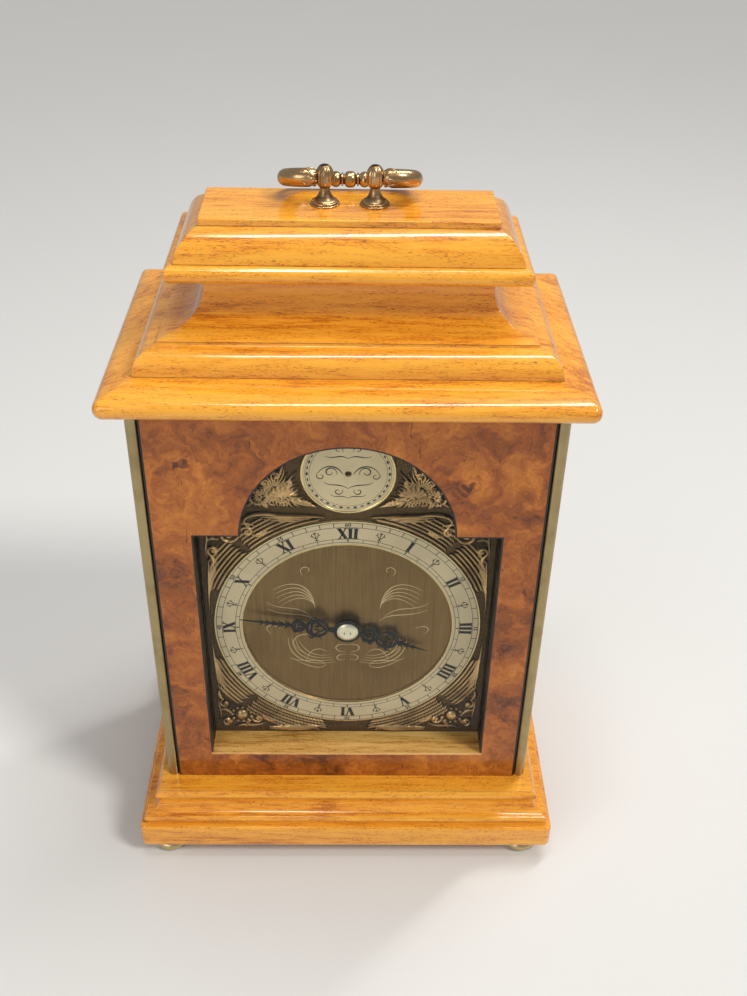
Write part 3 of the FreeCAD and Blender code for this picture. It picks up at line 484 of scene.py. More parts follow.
@dataclass(frozen=True)
class DialBrass(Finish):
    """Dial plate: upright brushing in the centre, a darker matted field outside the ring."""

    centre: Colour
    field_: Colour
    ring_radius: float
    ring_height: float

    def paint(self, graph: Graph) -> bpy.types.Material:
        """Two zones split by the distance from the hands' arbor.

        Args:
            graph: Empty graph to fill.

        Returns:
            The material.
        """
        flat = graph.vector("MULTIPLY", graph.place(), (1.0, 0.0, 1.0))
        away = graph.vector("DISTANCE", flat, (0.0, 0.0, self.ring_height * MM), output="Value")
        inside = away.step(self.ring_radius * MM + 0.001, self.ring_radius * MM)
        fine = graph.noise(graph.place((0, 0, 0), (90.0, 1.0, 1.6)), 60.0, 3.0, 0.75)
        line = fine * 0.6 + graph.noise(graph.place((0, 0, 0), (30.0, 1.0, 0.7)), 34.0, 2.0, 0.6) * 0.4
        grit = graph.noise(graph.place(), 1500.0, 2.0, 0.6)
        cloud = graph.noise(graph.place(), 40.0, 3.0)
        brushed = graph.blend(line.step(0.32, 0.68) * 0.8, self.centre, tuple(0.55 * c for c in self.centre))
        matted = graph.blend(grit.step(0.35, 0.7), tuple(0.55 * c for c in self.field_), self.field_)
        colour = graph.blend(inside, matted, brushed)
        colour = graph.blend(cloud.step(0.45, 0.8) * 0.35, colour, tuple(0.5 * c for c in self.field_))
        rough = 0.34 + line * 0.22 + (1 - inside) * 0.14
        normal = graph.bump(line * inside + grit * (1 - inside) * 1.4, 0.16, 0.00005)
        return graph.close(Base_Color=colour, Metallic=0.92, Roughness=rough, Normal=normal)


@dataclass(frozen=True)
class Silvering(Finish):
    """Matt silvered brass with a warm cast, brushed round the dial."""

    colour: Colour
    aged: Colour

    def paint(self, graph: Graph) -> bpy.types.Material:
        """Slightly patchy, fine grained metal.

        Args:
            graph: Empty graph to fill.

        Returns:
            The material.
        """
        cloud = graph.noise(graph.place(), 55.0, 4.0, 0.6)
        grit = graph.noise(graph.place(), 2600.0, 2.0, 0.6)
        stain = cloud.step(0.40, 0.75) * 0.55 + grit.step(0.5, 0.8) * 0.25
        colour = graph.blend(stain, self.colour, self.aged)
        normal = graph.bump(grit, 0.12, 0.00003)
        return graph.close(Base_Color=colour, Metallic=0.30, Roughness=0.42 + cloud * 0.12, Normal=normal)


@dataclass(frozen=True)
class Blacking(Finish):
    """Near-black paint, wax or blued steel with a soft sheen."""

    colour: Colour
    worn: Colour
    rough: float
    metallic: float = 0.0

    def paint(self, graph: Graph) -> bpy.types.Material:
        """Black with faint wear.

        Args:
            graph: Empty graph to fill.

        Returns:
            The material.
        """
        wear = graph.noise(graph.place(), 420.0, 4.0, 0.65)
        colour = graph.blend(wear.step(0.55, 0.85) * 0.6, self.colour, self.worn)
        normal = graph.bump(wear, 0.1, 0.00004)
        return graph.close(Base_Color=colour, Roughness=self.rough + wear * 0.15, Metallic=self.metallic,
                           Normal=normal)


@dataclass(frozen=True)
class ClearGlass(Finish):
    """Thin pane: light passes, and a little mirrors off it at glancing angles."""

    tint: Colour = (0.97, 0.985, 0.975)

    def paint(self, graph: Graph) -> bpy.types.Material:
        """Transparent mixed with a faint mirror.

        Args:
            graph: Empty graph to fill.

        Returns:
            The material.
        """
        smear = graph.noise(graph.place(), 30.0, 3.0).step(0.5, 0.9) * 0.006
        glance = graph.node("ShaderNodeLayerWeight", {}, {"Blend": 0.5}, "Facing")
        mirror = glance * glance * glance * 0.22 + smear + 0.006
        clear = graph.node("ShaderNodeBsdfTransparent", {}, {"Color": (*self.tint, 1.0)})
        gloss = graph.node("ShaderNodeBsdfAnisotropic", {}, {"Color": (1, 1, 1, 1), "Roughness": 0.04})
        return graph.output(graph.node("ShaderNodeMixShader", {}, {0: mirror, 1: clear, 2: gloss}))


@dataclass(frozen=True)
class StudioFloor(Finish):
    """Plain pale floor."""

    colour: Colour

    def paint(self, graph: Graph) -> bpy.types.Material:
        """Even matt colour with a trace of mottling.

        Args:
            graph: Empty graph to fill.

        Returns:
            The material.
        """
        mottle = graph.noise(graph.place(), 6.0, 3.0)
        seen = graph.blend(mottle, self.colour, tuple(0.97 * c for c in self.colour))
        return graph.close(Base_Color=seen, Roughness=0.75)


HONEY = dict(pale=(0.91, 0.42, 0.040), mid=(0.83, 0.325, 0.024), deep=(0.55, 0.160, 0.011))
RUSSET = dict(pale=(0.52, 0.22, 0.055), mid=(0.38, 0.135, 0.028), deep=(0.17, 0.05, 0.012))
# Heights of the dark lines at the joins between mouldings and at grooves: partly real glue lines, partly
# painted crevice shade.
GLUE_AND_SHADE_HEIGHTS = (19.6, 22.4, 27.4, 31.7, 208.8, 218.9, 227.7, 245.4, 251.0, 260.7)
CASE_WOOD = PolishedWood("walnut_across", grain=Grain.ACROSS, seams=GLUE_AND_SHADE_HEIGHTS, **HONEY)
TOP_WOOD = PolishedWood("walnut_top", grain=Grain.ACROSS, seams=GLUE_AND_SHADE_HEIGHTS, seed=0.83, **HONEY)
SIDE_WOOD = PolishedWood("walnut_upright", grain=Grain.UPRIGHT, seed=0.41, **RUSSET)
SILL_WOOD = PolishedWood("walnut_sill", grain=Grain.ACROSS, seed=1.9, pale=(0.86, 0.52, 0.17),
                         mid=(0.74, 0.39, 0.10), deep=(0.42, 0.18, 0.04))
BURR = BurrVeneer("burr_walnut_front", pale=(0.58, 0.195, 0.024), mid=(0.35, 0.092, 0.011),
                  deep=(0.10, 0.022, 0.004),
                  eyes=((42.5, 178.5, 8.0), (-55.0, 186.0, 6.0), (59.5, 102.0, 3.5), (57.5, 94.0, 3.0)))
# Near-black colour for the reveals, glass retainer and corner strips.
NEAR_BLACK_LINING = Blacking("ebonised", (0.012, 0.010, 0.008), (0.05, 0.04, 0.03), 0.34)
INK = Blacking("dial_wax", (0.012, 0.010, 0.009), (0.05, 0.045, 0.04), 0.5)
HAND_BLACK = Blacking("blacked_steel", (0.010, 0.010, 0.011), (0.05, 0.05, 0.05), 0.24, 0.5)
GLASS = ClearGlass("clear_glass")
HANDLE_BRASS = Metal("antique_brass", (0.54, 0.36, 0.185), (0.17, 0.10, 0.048), 0.18, hollows=True,
                     tarnish=0.85)
FOOT_BRASS = Metal("foot_brass", (0.60, 0.47, 0.26), (0.36, 0.27, 0.14), 0.24)
COLUMN_BRASS = Metal("column_brass", (0.40, 0.31, 0.155), (0.26, 0.19, 0.09), 0.28, Brush.UPRIGHT)
FITTING_BRASS = Metal("fitting_brass", (0.80, 0.60, 0.27), (0.5, 0.35, 0.14), 0.18)
CAST_BRASS = Metal("cast_brass", (0.66, 0.42, 0.195), (0.24, 0.14, 0.064), 0.19, hollows=True, tarnish=0.7)
RIM_BRASS = Metal("rim_brass", (0.80, 0.62, 0.30), (0.5, 0.36, 0.16), 0.16)
MOVEMENT_BRASS = Metal("movement_brass", (0.78, 0.60, 0.28), (0.58, 0.42, 0.18), 0.20, Brush.UPRIGHT)
STEEL = Metal("bright_steel", (0.60, 0.59, 0.57), (0.38, 0.36, 0.33), 0.20)
ENGRAVED = Metal("engraved_line", (0.74, 0.60, 0.36), (0.52, 0.40, 0.21), 0.32)
PLATE_BRASS = DialBrass("dial_brass", (0.27, 0.165, 0.068), (0.17, 0.10, 0.040), 40.4, 103.3)
SILVER = Silvering("silvered", (0.64, 0.51, 0.33), (0.48, 0.37, 0.22))
CREAM = Silvering("silvered_cream", (0.74, 0.59, 0.37), (0.60, 0.46, 0.27))
NUT_BRASS = Metal("nut_brass", (0.86, 0.78, 0.60), (0.66, 0.56, 0.38), 0.22)


# ---------------------------------------------------------------- mesh work
def outline(entries: Sequence[Any], steps: int = 8) -> list[Pair]:
    """Points of a profile.

    Args:
        entries: Pairs, and pairs of pairs for an arc: a point that it passes, then its end.
        steps: Chords for each arc.

    Returns:
        The points in order.
    """
    points: list[Pair] = [entries[0]]
    for entry in entries[1:]:
        if isinstance(entry[0], tuple):
            points += arc_through(points[-1], entry[0], entry[1], steps)
        else:
            points.append(entry)
    return points


def arc_through(start: Pair, middle: Pair, end: Pair, steps: int) -> list[Pair]:
    """Points after start on the circle through three points.

    Args:
        start: First point.
        middle: Point on the way.
        end: Last point.
        steps: Chords.

    Returns:
        The points, without the first.
    """
    (ax, ay), (bx, by), (cx, cy) = start, middle, end
    d = 2 * (ax * (by - cy) + bx * (cy - ay) + cx * (ay - by))
    if abs(d) < 1e-9:
        return [middle, end]
    a, b, c = ax * ax + ay * ay, bx * bx + by * by, cx * cx + cy * cy
    ux = (a * (by - cy) + b * (cy - ay) + c * (ay - by)) / d
    uy = (a * (cx - bx) + b * (ax - cx) + c * (bx - ax)) / d
    radius = math.hypot(ax - ux, ay - uy)
    turn = [math.atan2(y - uy, x - ux) for x, y in (start, middle, end)]
    sweep = (turn[2] - turn[0]) % math.tau
    if not (turn[1] - turn[0]) % math.tau < sweep:
        sweep -= math.tau
    angles = [turn[0] + sweep * (i + 1) / steps for i in range(steps)]
    return [(ux + radius * math.cos(t), uy + radius * math.sin(t)) for t in angles]


def spiral(centre: Pair, start: float, end: float, first: float, turns: float, steps: int = 26) -> list[Pair]:
    """Spiral path from radius start to radius end; first is its first angle in degrees.

    Args:
        centre: Its centre.
        start: First radius.
        end: Last radius.
        first: First angle in degrees.
        turns: Turns, negative for clockwise.
        steps: Chords.

    Returns:
        Points of the path.
    """
    path = []
    for i in range(steps + 1):
        share = i / steps
        angle = math.radians(first + 360.0 * turns * share)
        radius = start * (end / start) ** share
        path.append((centre[0] + radius * math.cos(angle), centre[1] + radius * math.sin(angle)))
    return path


def bezier(points: Sequence[Pair], steps: int = 16) -> list[Pair]:
    """Bezier curve with any number of control points.

    Args:
        points: Control points.
        steps: Chords.

    Returns:
        Points of the curve.
    """
    path = []
    for i in range(steps + 1):
        level = [Vector(p) for p in points]
        while len(level) > 1:
            level = [a.lerp(b, i / steps) for a, b in zip(level, level[1:])]
        path.append((level[0].x, level[0].y))
    return path


def mirrored(path: Sequence[Pair]) -> list[Pair]:
    """Path on the other side of the middle line."""
    return [(-x, z) for x, z in path]


def placed(point: Sequence[float]) -> Vector:
    """Final place in metres of a drawn point in millimetres."""
    return (Vector(point) - Vector((0.0, FORWARD, 0.0))) * MM


def on_dial(front: float) -> Place:
    """Placing for drawings on the dial: x, z and the rise above a face at y = front."""
    return lambda x, z, rise: Vector((x, front - rise, z))


@dataclass
class Piece:
    """One piece under construction, with its points in millimetres."""

    name: str
    points: list[Vector] = field(default_factory=list)
    faces: list[tuple[int, ...]] = field(default_factory=list)
    relief: list[float] = field(default_factory=list)

    def add(self, points: Iterable[Vector], faces: Iterable[Sequence[int]],
            relief: Iterable[float] | None = None) -> None:
        """Add points and the faces between them.

        Args:
            points: Points in millimetres.
            faces: Numbers of the points of each face.
            relief: How proud each point stands, from zero to one.
        """
        first = len(self.points)
        self.points += points
        self.faces += [tuple(first + i for i in face) for face in faces]
        added = len(self.points) - first
        self.relief += relief if relief is not None else [1.0] * added

    def tube(self, rings: Sequence[Sequence[Vector]], relief: Sequence[float] | None = None,
             caps: bool = True) -> None:
        """Skin between rings of equal size, closed at both ends.

        Args:
            rings: Rings of points in order.
            relief: How proud each ring stands.
            caps: Whether the ends are closed.
        """
        size = len(rings[0])
        points = [p for ring in rings for p in ring]
        faces = [(r + i, r + (i + 1) % size, r + size + (i + 1) % size, r + size + i)
                 for r in range(0, size * (len(rings) - 1), size) for i in range(size)]
        if caps:
            faces.append(tuple(reversed(range(size))))
            faces.append(tuple(range(len(points) - size, len(points))))
        heights = None if relief is None else [h for h in relief for _ in range(size)]
        self.add(points, faces, heights)

    def turned(self, profile: Sequence[Pair], base: Sequence[float], axis: Sequence[float] = (0, 0, 1),
               sides: int = 56, flutes: int = 0, flute_depth: float = 0.0) -> None:
        """Turned form.

        Args:
            profile: Radius and height pairs up the axis.
            base: Where the axis starts.
            axis: Direction of the axis.
            sides: Points round the form.
            flutes: Shallow grooves round the thicker half of it.
            flute_depth: Share of the radius that a groove takes.
        """
        turn = Vector((0, 0, 1)).rotation_difference(Vector(axis)).to_matrix()
        widest = max(r for r, _ in profile)
        rings, relief = [], []
        for index, (radius, height) in enumerate(profile):
            near = [r for r, h in profile if abs(h - height) < 0.22 * widest + 0.6]
            relief.append(min(1.0, 0.15 + 0.85 * (radius / max(near)) ** 2) if max(near) > 0 else 1.0)
            ring = []
            for i in range(sides):
                angle = math.tau * i / sides
                dent = flute_depth * (0.5 - 0.5 * math.cos(flutes * angle)) if radius > 0.55 * widest else 0.0
                r = max(radius, 1e-4) * (1 - dent)
                ring.append(turn @ Vector((r * math.cos(angle), r * math.sin(angle), height)) + Vector(base))
            rings.append(ring)
        self.tube(rings, relief)

    def ring(self, profile: Sequence[Pair], base: Sequence[float], axis: Sequence[float],
             sides: int = 128) -> None:
        """Turned ring: a closed profile of radius and height pairs swept round an axis.

        Args:
            profile: Radius and height pairs.
            base: Centre of the ring.
            axis: Direction of its axis.
            sides: Points round it.
        """
        turn = Vector((0, 0, 1)).rotation_difference(Vector(axis)).to_matrix()
        size = len(profile)
        points = [turn @ Vector((r * math.cos(a), r * math.sin(a), h)) + Vector(base)
                  for a in (math.tau * i / sides for i in range(sides)) for r, h in profile]
        faces = [(s * size + i, s * size + (i + 1) % size, (s + 1) % sides * size + (i + 1) % size,
                  (s + 1) % sides * size + i) for s in range(sides) for i in range(size)]
        self.add(points, faces)

    def plate(self, edge: Sequence[Pair], place: Place, low: float, high: float) -> None:
        """Flat plate with a given edge, between two rises."""
        self.tube([[place(x, z, low) for x, z in edge], [place(x, z, high) for x, z in edge]])

    def strand(self, path: Sequence[Pair], place: Place, widths: Sequence[float], rise: float,
               base: float = 0.0, sides: int = 8, seat: float = -0.5) -> None:
        """Rounded raised line along a path in a plane.

        Args:
            path: Points of the line.
            place: Maps the plane and a rise to space.
            widths: Half widths, spread evenly from start to end.
            rise: Height of its crest above base.
            base: Rise that it stands on.
            sides: Points round its section.
            seat: How far the underside goes, as a share of the crest.
        """
        count = len(path)
        rings = []
        for i, (x, z) in enumerate(path):
            before, after = path[max(i - 1, 0)], path[min(i + 1, count - 1)]
            along = Vector((after[0] - before[0], after[1] - before[1])).normalized()
            spot = i / (count - 1) * (len(widths) - 1)
            low = min(int(spot), len(widths) - 2) if len(widths) > 1 else 0
            after = widths[min(low + 1, len(widths) - 1)]
            width = widths[low] + (after - widths[low]) * (spot - low)
            ring = []
            for k in range(sides):
                angle = math.tau * k / sides
                aside, up = width * math.cos(angle), math.sin(angle)
                up = up * rise if up >= 0 else -up * rise * seat
                ring.append(place(x - along.y * aside, z + along.x * aside, base + up))
            rings.append(ring)
        self.tube(rings)

    def make(self, finish: Finish, body: str, replaces: Sequence[str] = (), soften: float = 0.0,
             sharp: float = 35.0) -> bpy.types.Object:
        """Turn the points into an object that rides on a body.

        Args:
            finish: Its finish.
            body: Body that it moves with.
            replaces: Nodes that it stands for.
            soften: Width of the rounding of its edges.
            sharp: Angle in degrees past which an edge stays crisp.

        Returns:
            The new object.
        """
        mesh = bpy.data.meshes.new(self.name)
        mesh.from_pydata([placed(p) for p in self.points], [], self.faces)
        mesh.validate()
        mesh.attributes.new("relief", "FLOAT", "POINT").data.foreach_set("value", self.relief)
        made = bpy.data.objects.new(self.name, mesh)
        bpy.context.scene.collection.objects.link(made)
        outward(mesh)
        mesh.shade_smooth()
        mesh.set_sharp_from_angle(angle=math.radians(sharp))
        if soften:
            bevel = made.modifiers.new("softened edges", "BEVEL")
            bevel.width, bevel.segments, bevel.limit_method = soften * MM, 3, "ANGLE"
            bevel.angle_limit = math.radians(22.0)
            made.modifiers.new("even shading", "WEIGHTED_NORMAL").keep_sharp = True
            mesh.set_sharp_from_angle(angle=math.pi)
        mesh.materials.append(finish.material())
        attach(made, body)
        if replaces:
            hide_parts(*replaces)
        LOG.info("%s: %d faces on %s, for %s", self.name, len(mesh.polygons), body,
                 ", ".join(replaces) or "itself")
        return made


def outward(mesh: bpy.types.Mesh) -> None:
    """Point every closed shell's faces outwards.

    Args:
        mesh: Mesh of closed shells.
    """
    shell = bmesh.new()
    shell.from_mesh(mesh)
    bmesh.ops.recalc_face_normals(shell, faces=shell.faces)
    shell.to_mesh(mesh)
    shell.free()


def dress(node: str, finish: Finish) -> None:
    """Give a node of the frame its finish.

    Args:
        node: Name of the node.
        finish: Its finish.
    """
    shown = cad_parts[node]
    shown.data.materials.clear()
    shown.data.materials.append(finish.material())
    LOG.info("%s: finished as %s", node, finish.name)


# ---------------------------------------------------------------- case
@dataclass
class Case:
    """Plinth, body, cornice and caddy. The offsets of every moulding are measured from four lines."""

    half_width: float = 72.0
    front_line: float = -40.4
    case_rear: float = 47.4
    caddy_rear: float = 37.0

    def moulding(self, name: str, entries: Sequence[Any], corner: float, finish: Finish, soften: float,
                 rear: float | None = None) -> None:
        """Moulding round all four sides.

        Args:
            name: Node that it stands for.
            entries: Profile as (offset, height) entries, as in outline().
            corner: Plan radius at its widest.
            finish: Its finish.
            soften: Rounding of its edges.
            rear: Line behind that the offsets are measured from, by default the case's.
        """
        back = self.case_rear if rear is None else rear
        middle, half_depth = (back + self.front_line) / 2, (back - self.front_line) / 2
        profile = outline(entries)
        widest = max(p for p, _ in profile)
        rings = []
        for offset, height in profile:
            radius = max(corner - (widest - offset), 0.25)
            x, y = self.half_width + offset - radius, half_depth + offset - radius
            ring = []
            for quarter, (sx, sy) in enumerate(((1, 1), (-1, 1), (-1, -1), (1, -1))):
                for step in range(5):
                    angle = math.radians(90.0 * quarter + 22.5 * step)
                    ring.append(Vector((sx * x + radius * math.cos(angle),
                                        middle + sy * y + radius * math.sin(angle), height)))
            rings.append(ring)
        piece = Piece(f"{name}_polished")
        piece.tube(rings)
        piece.make(finish, "case", [name], soften, sharp=28.0)

    def build(self) -> None:
        """Make every piece of the case."""
        self.moulding("plinth_slab", [(8.0, 6.0), (9.4, 6.0), ((11.5, 6.9), (12.3, 9.0)), (12.3, 16.6),
                                      ((12.1, 17.7), (11.4, 18.2)), (9.4, 18.2), (9.2, 19.6)],
                      2.5, CASE_WOOD, 0.25)
        self.moulding("plinth_moulding", [(9.2, 19.6), ((10.5, 21.1), (9.2, 22.4)), (8.7, 22.4),
                                          ((6.2, 23.4), (4.5, 25.5)), (4.0, 25.6), (4.0, 27.4),
                                          ((5.6, 29.3), (4.6, 31.2)), (4.1, 31.7)], 1.2, CASE_WOOD, 0.18)
        self.moulding("cornice_board", [(3.4, 208.8), (4.7, 208.8), ((8.4, 212.3), (5.6, 215.6)),
                                        (-3.0, 218.9)], 3.0, TOP_WOOD, 0.3)
        self.moulding("cornice_ovolo", [(-3.0, 218.9), (-3.3, 220.4), ((-5.2, 224.5), (-9.3, 226.3)),
                                        (-10.6, 226.7), (-10.8, 227.7)], 0.9, TOP_WOOD, 0.22)
        self.moulding("bell_cove", [(-10.8, 227.7), (-13.7, 228.7), ((-21.6, 232.0), (-25.0, 239.4)),
                                    (-25.0, 245.4)], 0.6, TOP_WOOD, 0.2, self.caddy_rear)
        self.moulding("caddy_slab", [(-16.6, 245.4), ((-13.7, 248.2), (-16.4, 251.0))], 1.6, TOP_WOOD, 0.2,
                      self.caddy_rear)
        self.moulding("caddy_cushion", [(-16.8, 251.0), ((-19.2, 256.7), (-24.6, 260.7))], 1.0, TOP_WOOD, 0.3,
                      self.caddy_rear)
        self.moulding("top_panel", [(-24.6, 260.7), (-24.6, 262.4), ((-24.75, 262.85), (-25.2, 263.0))], 0.8,
                      TOP_WOOD, 0.15, self.caddy_rear)
        self.feet()
        for node in ("side_panels", "seat_board", "rear_frame", "rear_door"):
            dress(node, SIDE_WOOD)
        # The reveals, glass retainer and corner strips are coloured near black.
        for node in ("reveal_lining", "glass_retainer", "corner_strips"):
            dress(node, NEAR_BLACK_LINING)
        for node in ("viewing_glass", "rear_door_glass"):
            dress(node, GLASS)
        dress("front_mask", BURR)
        dress("dial_sill", SILL_WOOD)
        dress("corner_columns", COLUMN_BRASS)
        for node in ("hinge_case_leaves", "hinge_door_leaves", "hinge_pins", "turn_button",
                     "turn_button_stud"):
            dress(node, FITTING_BRASS)
        self.door_knob()

    def feet(self) -> None:
        """Four turned bun feet."""
        piece = Piece("bun_feet_turned")
        profile = outline([(0.0, 0.0), (4.4, 0.0), ((5.3, 0.25), (5.9, 0.9)), ((7.0, 2.7), (5.6, 4.6)),
                           (5.2, 4.8), (5.2, 6.0), (0.0, 6.0)])
        for x in (-73.3, 73.3):
            for y in (-44.0, 51.0):
                piece.turned(profile, (x, y, 0.0))
        piece.make(FOOT_BRASS, "case", ["bun_feet"])

    def door_knob(self) -> None:
        """Small turned pull on the rear door."""
        piece = Piece("door_knob_turned")
        profile = outline([(0.0, 0.0), (1.2, 0.0), (1.2, 3.0), (3.2, 3.0), (3.2, 3.7), (1.7, 4.3), (1.5, 5.2),
                           ((3.55, 7.5), (1.4, 9.5)), (0.0, 9.6)])
        piece.turned(profile, (-44.0, 42.0, 119.5), (0, 1, 0))
        piece.make(FITTING_BRASS, "door", ["door_knob"])


# ---------------------------------------------------------------- handle
@dataclass
class Handle:
    """Turned posts and the beaded bail."""

    top: float = 263.0
    post_x: float = 8.0
    post_y: float = -1.7
    pivot_z: float = 271.9
    reach: float = 14.5
    bend_x: float = 13.6
    tube: float = 2.65
    droop: float = 22.5
    socket: float = 2.3

    def build(self) -> None:
        """Make posts and bail."""
        rise = self.pivot_z - self.top
        stem = outline([(0.0, 0.0), (4.6, 0.0), ((4.8, 0.3), (4.6, 0.6)), (4.15, 0.7),
                        ((4.3, 1.0), (4.0, 1.3)), (3.55, 1.4), ((2.25, 3.0), (1.6, rise - 3.2)),
                        (1.5, rise - 2.6), (0.0, rise - 2.6)])
        ball = outline([(0.0, rise - 3.6), (1.3, rise - 3.6), ((2.45, rise - 2.5), (2.85, rise - 0.4)),
                        ((2.75, rise + 1.8), (1.9, rise + 3.3)), ((1.0, rise + 3.88), (0.0, rise + 4.0))], 7)
        posts = Piece("handle_posts_turned")
        for side in (-1, 1):
            posts.turned(stem, (side * self.post_x, self.post_y, self.top))
            posts.turned(ball, (side * self.post_x, self.post_y, self.top), sides=96, flutes=16,
                         flute_depth=0.06)
        posts.make(HANDLE_BRASS, "case", ["handle_posts"])
        self.bail()

    def bail(self) -> None:
        """Sweep the bail's thickness along its path: grip, bends and arms."""
        grip = outline([(0.0, 2.6), ((1.3, 2.35), (1.9, 1.6)), (2.1, 1.5), (2.35, 2.15), (2.8, 2.15),
                        (3.0, 1.5), ((4.7, 2.55), (6.4, 1.5)), (6.6, 1.5), (6.85, 2.15), (7.3, 2.15),
                        (7.5, 1.5), ((9.0, 2.6), (10.6, 1.7)), (10.9, 1.6), (11.2, 2.35), (11.9, 2.5),
                        (12.3, 2.2), (13.6, self.tube)])
        half = [(x, self.reach, r) for x, r in grip]
        radius = self.reach / 2
        for step in range(1, 17):
            angle = math.pi * (0.5 - step / 16)
            across, down = self.bend_x + radius * math.cos(angle), radius + radius * math.sin(angle)
            half.append((across, down, self.tube))
        inner = self.post_x + self.socket
        swell = outline([(self.bend_x - 0.4, self.tube), ((12.3, 2.75), (inner, 1.5))])
        half += [(x, 0.0, r) for x, r in swell]
        whole = [(-x, y, r) for x, y, r in reversed(half[1:])] + half
        turn = Matrix.Rotation(math.radians(-self.droop), 4, "X")
        pivot = Vector((0.0, self.post_y, self.pivot_z))
        rings, relief = [], []
        for i, (x, y, r) in enumerate(whole):
            before, after = whole[max(i - 1, 0)], whole[min(i + 1, len(whole) - 1)]
            along = Vector((after[0] - before[0], after[1] - before[1], 0.0)).normalized()
            aside = Vector((-along.y, along.x, 0.0))
            ring = []
            for k in range(32):
                angle = math.tau * k / 32
                offset = aside * (r * math.cos(angle)) + Vector((0, 0, r * math.sin(angle)))
                ring.append(turn @ (Vector((x, y, 0.0)) + offset) + pivot)
            rings.append(ring)
            near = max(w[2] for w in whole[max(i - 4, 0):i + 5])
            relief.append(0.15 + 0.85 * (r / near) ** 2)
        piece = Piece("bail_cast")
        piece.tube(rings, relief)
        self.collars(piece, turn, pivot)
        piece.make(HANDLE_BRASS, "bail_handle", ["bail"], sharp=50.0)

    def collars(self, piece: Piece, turn: Matrix, pivot: Vector) -> None:
        """Four pointed leaves round each arm, where it widens beside its post.

        Args:
            piece: The bail.
            turn: How far the bail leans.
            pivot: Middle of its hinge line.
        """
        root, widest = self.post_x + self.socket, 12.3
        for side, quarter in ((s, q) for s in (-1, 1) for q in range(4)):
            def on_arm(along: float, round_it: float, rise: float) -> Vector:
                """Place on an arm.

                Args:
                    along: Distance from the middle of the bail.
                    round_it: Way round the arm from the leaf's midrib.
                    rise: Rise above the arm.

                Returns:
                    The point, in millimetres.
                """
                reach = float(np.interp(along, (root, widest, self.bend_x), (1.75, 2.72, self.tube))) + rise
                angle = round_it / 2.4 + math.radians(90.0 * quarter + 45.0)
                spot = Vector((side * along, -reach * math.cos(angle), reach * math.sin(angle)))
                return turn @ spot + pivot

            for edge in (-1, 1):
                leaf = [(root + 0.2, edge * 0.9), (12.0, edge * 1.5), (13.6, edge * 0.9), (15.0, 0.0)]
                piece.strand(bezier(leaf, 8), on_arm, (0.25, 0.38, 0.30, 0.12), 0.26, sides=6)
            piece.strand([(root + 0.2, 0.0), (12.2, 0.0), (14.2, 0.0)], on_arm, (0.2, 0.3, 0.1), 0.2, sides=6)


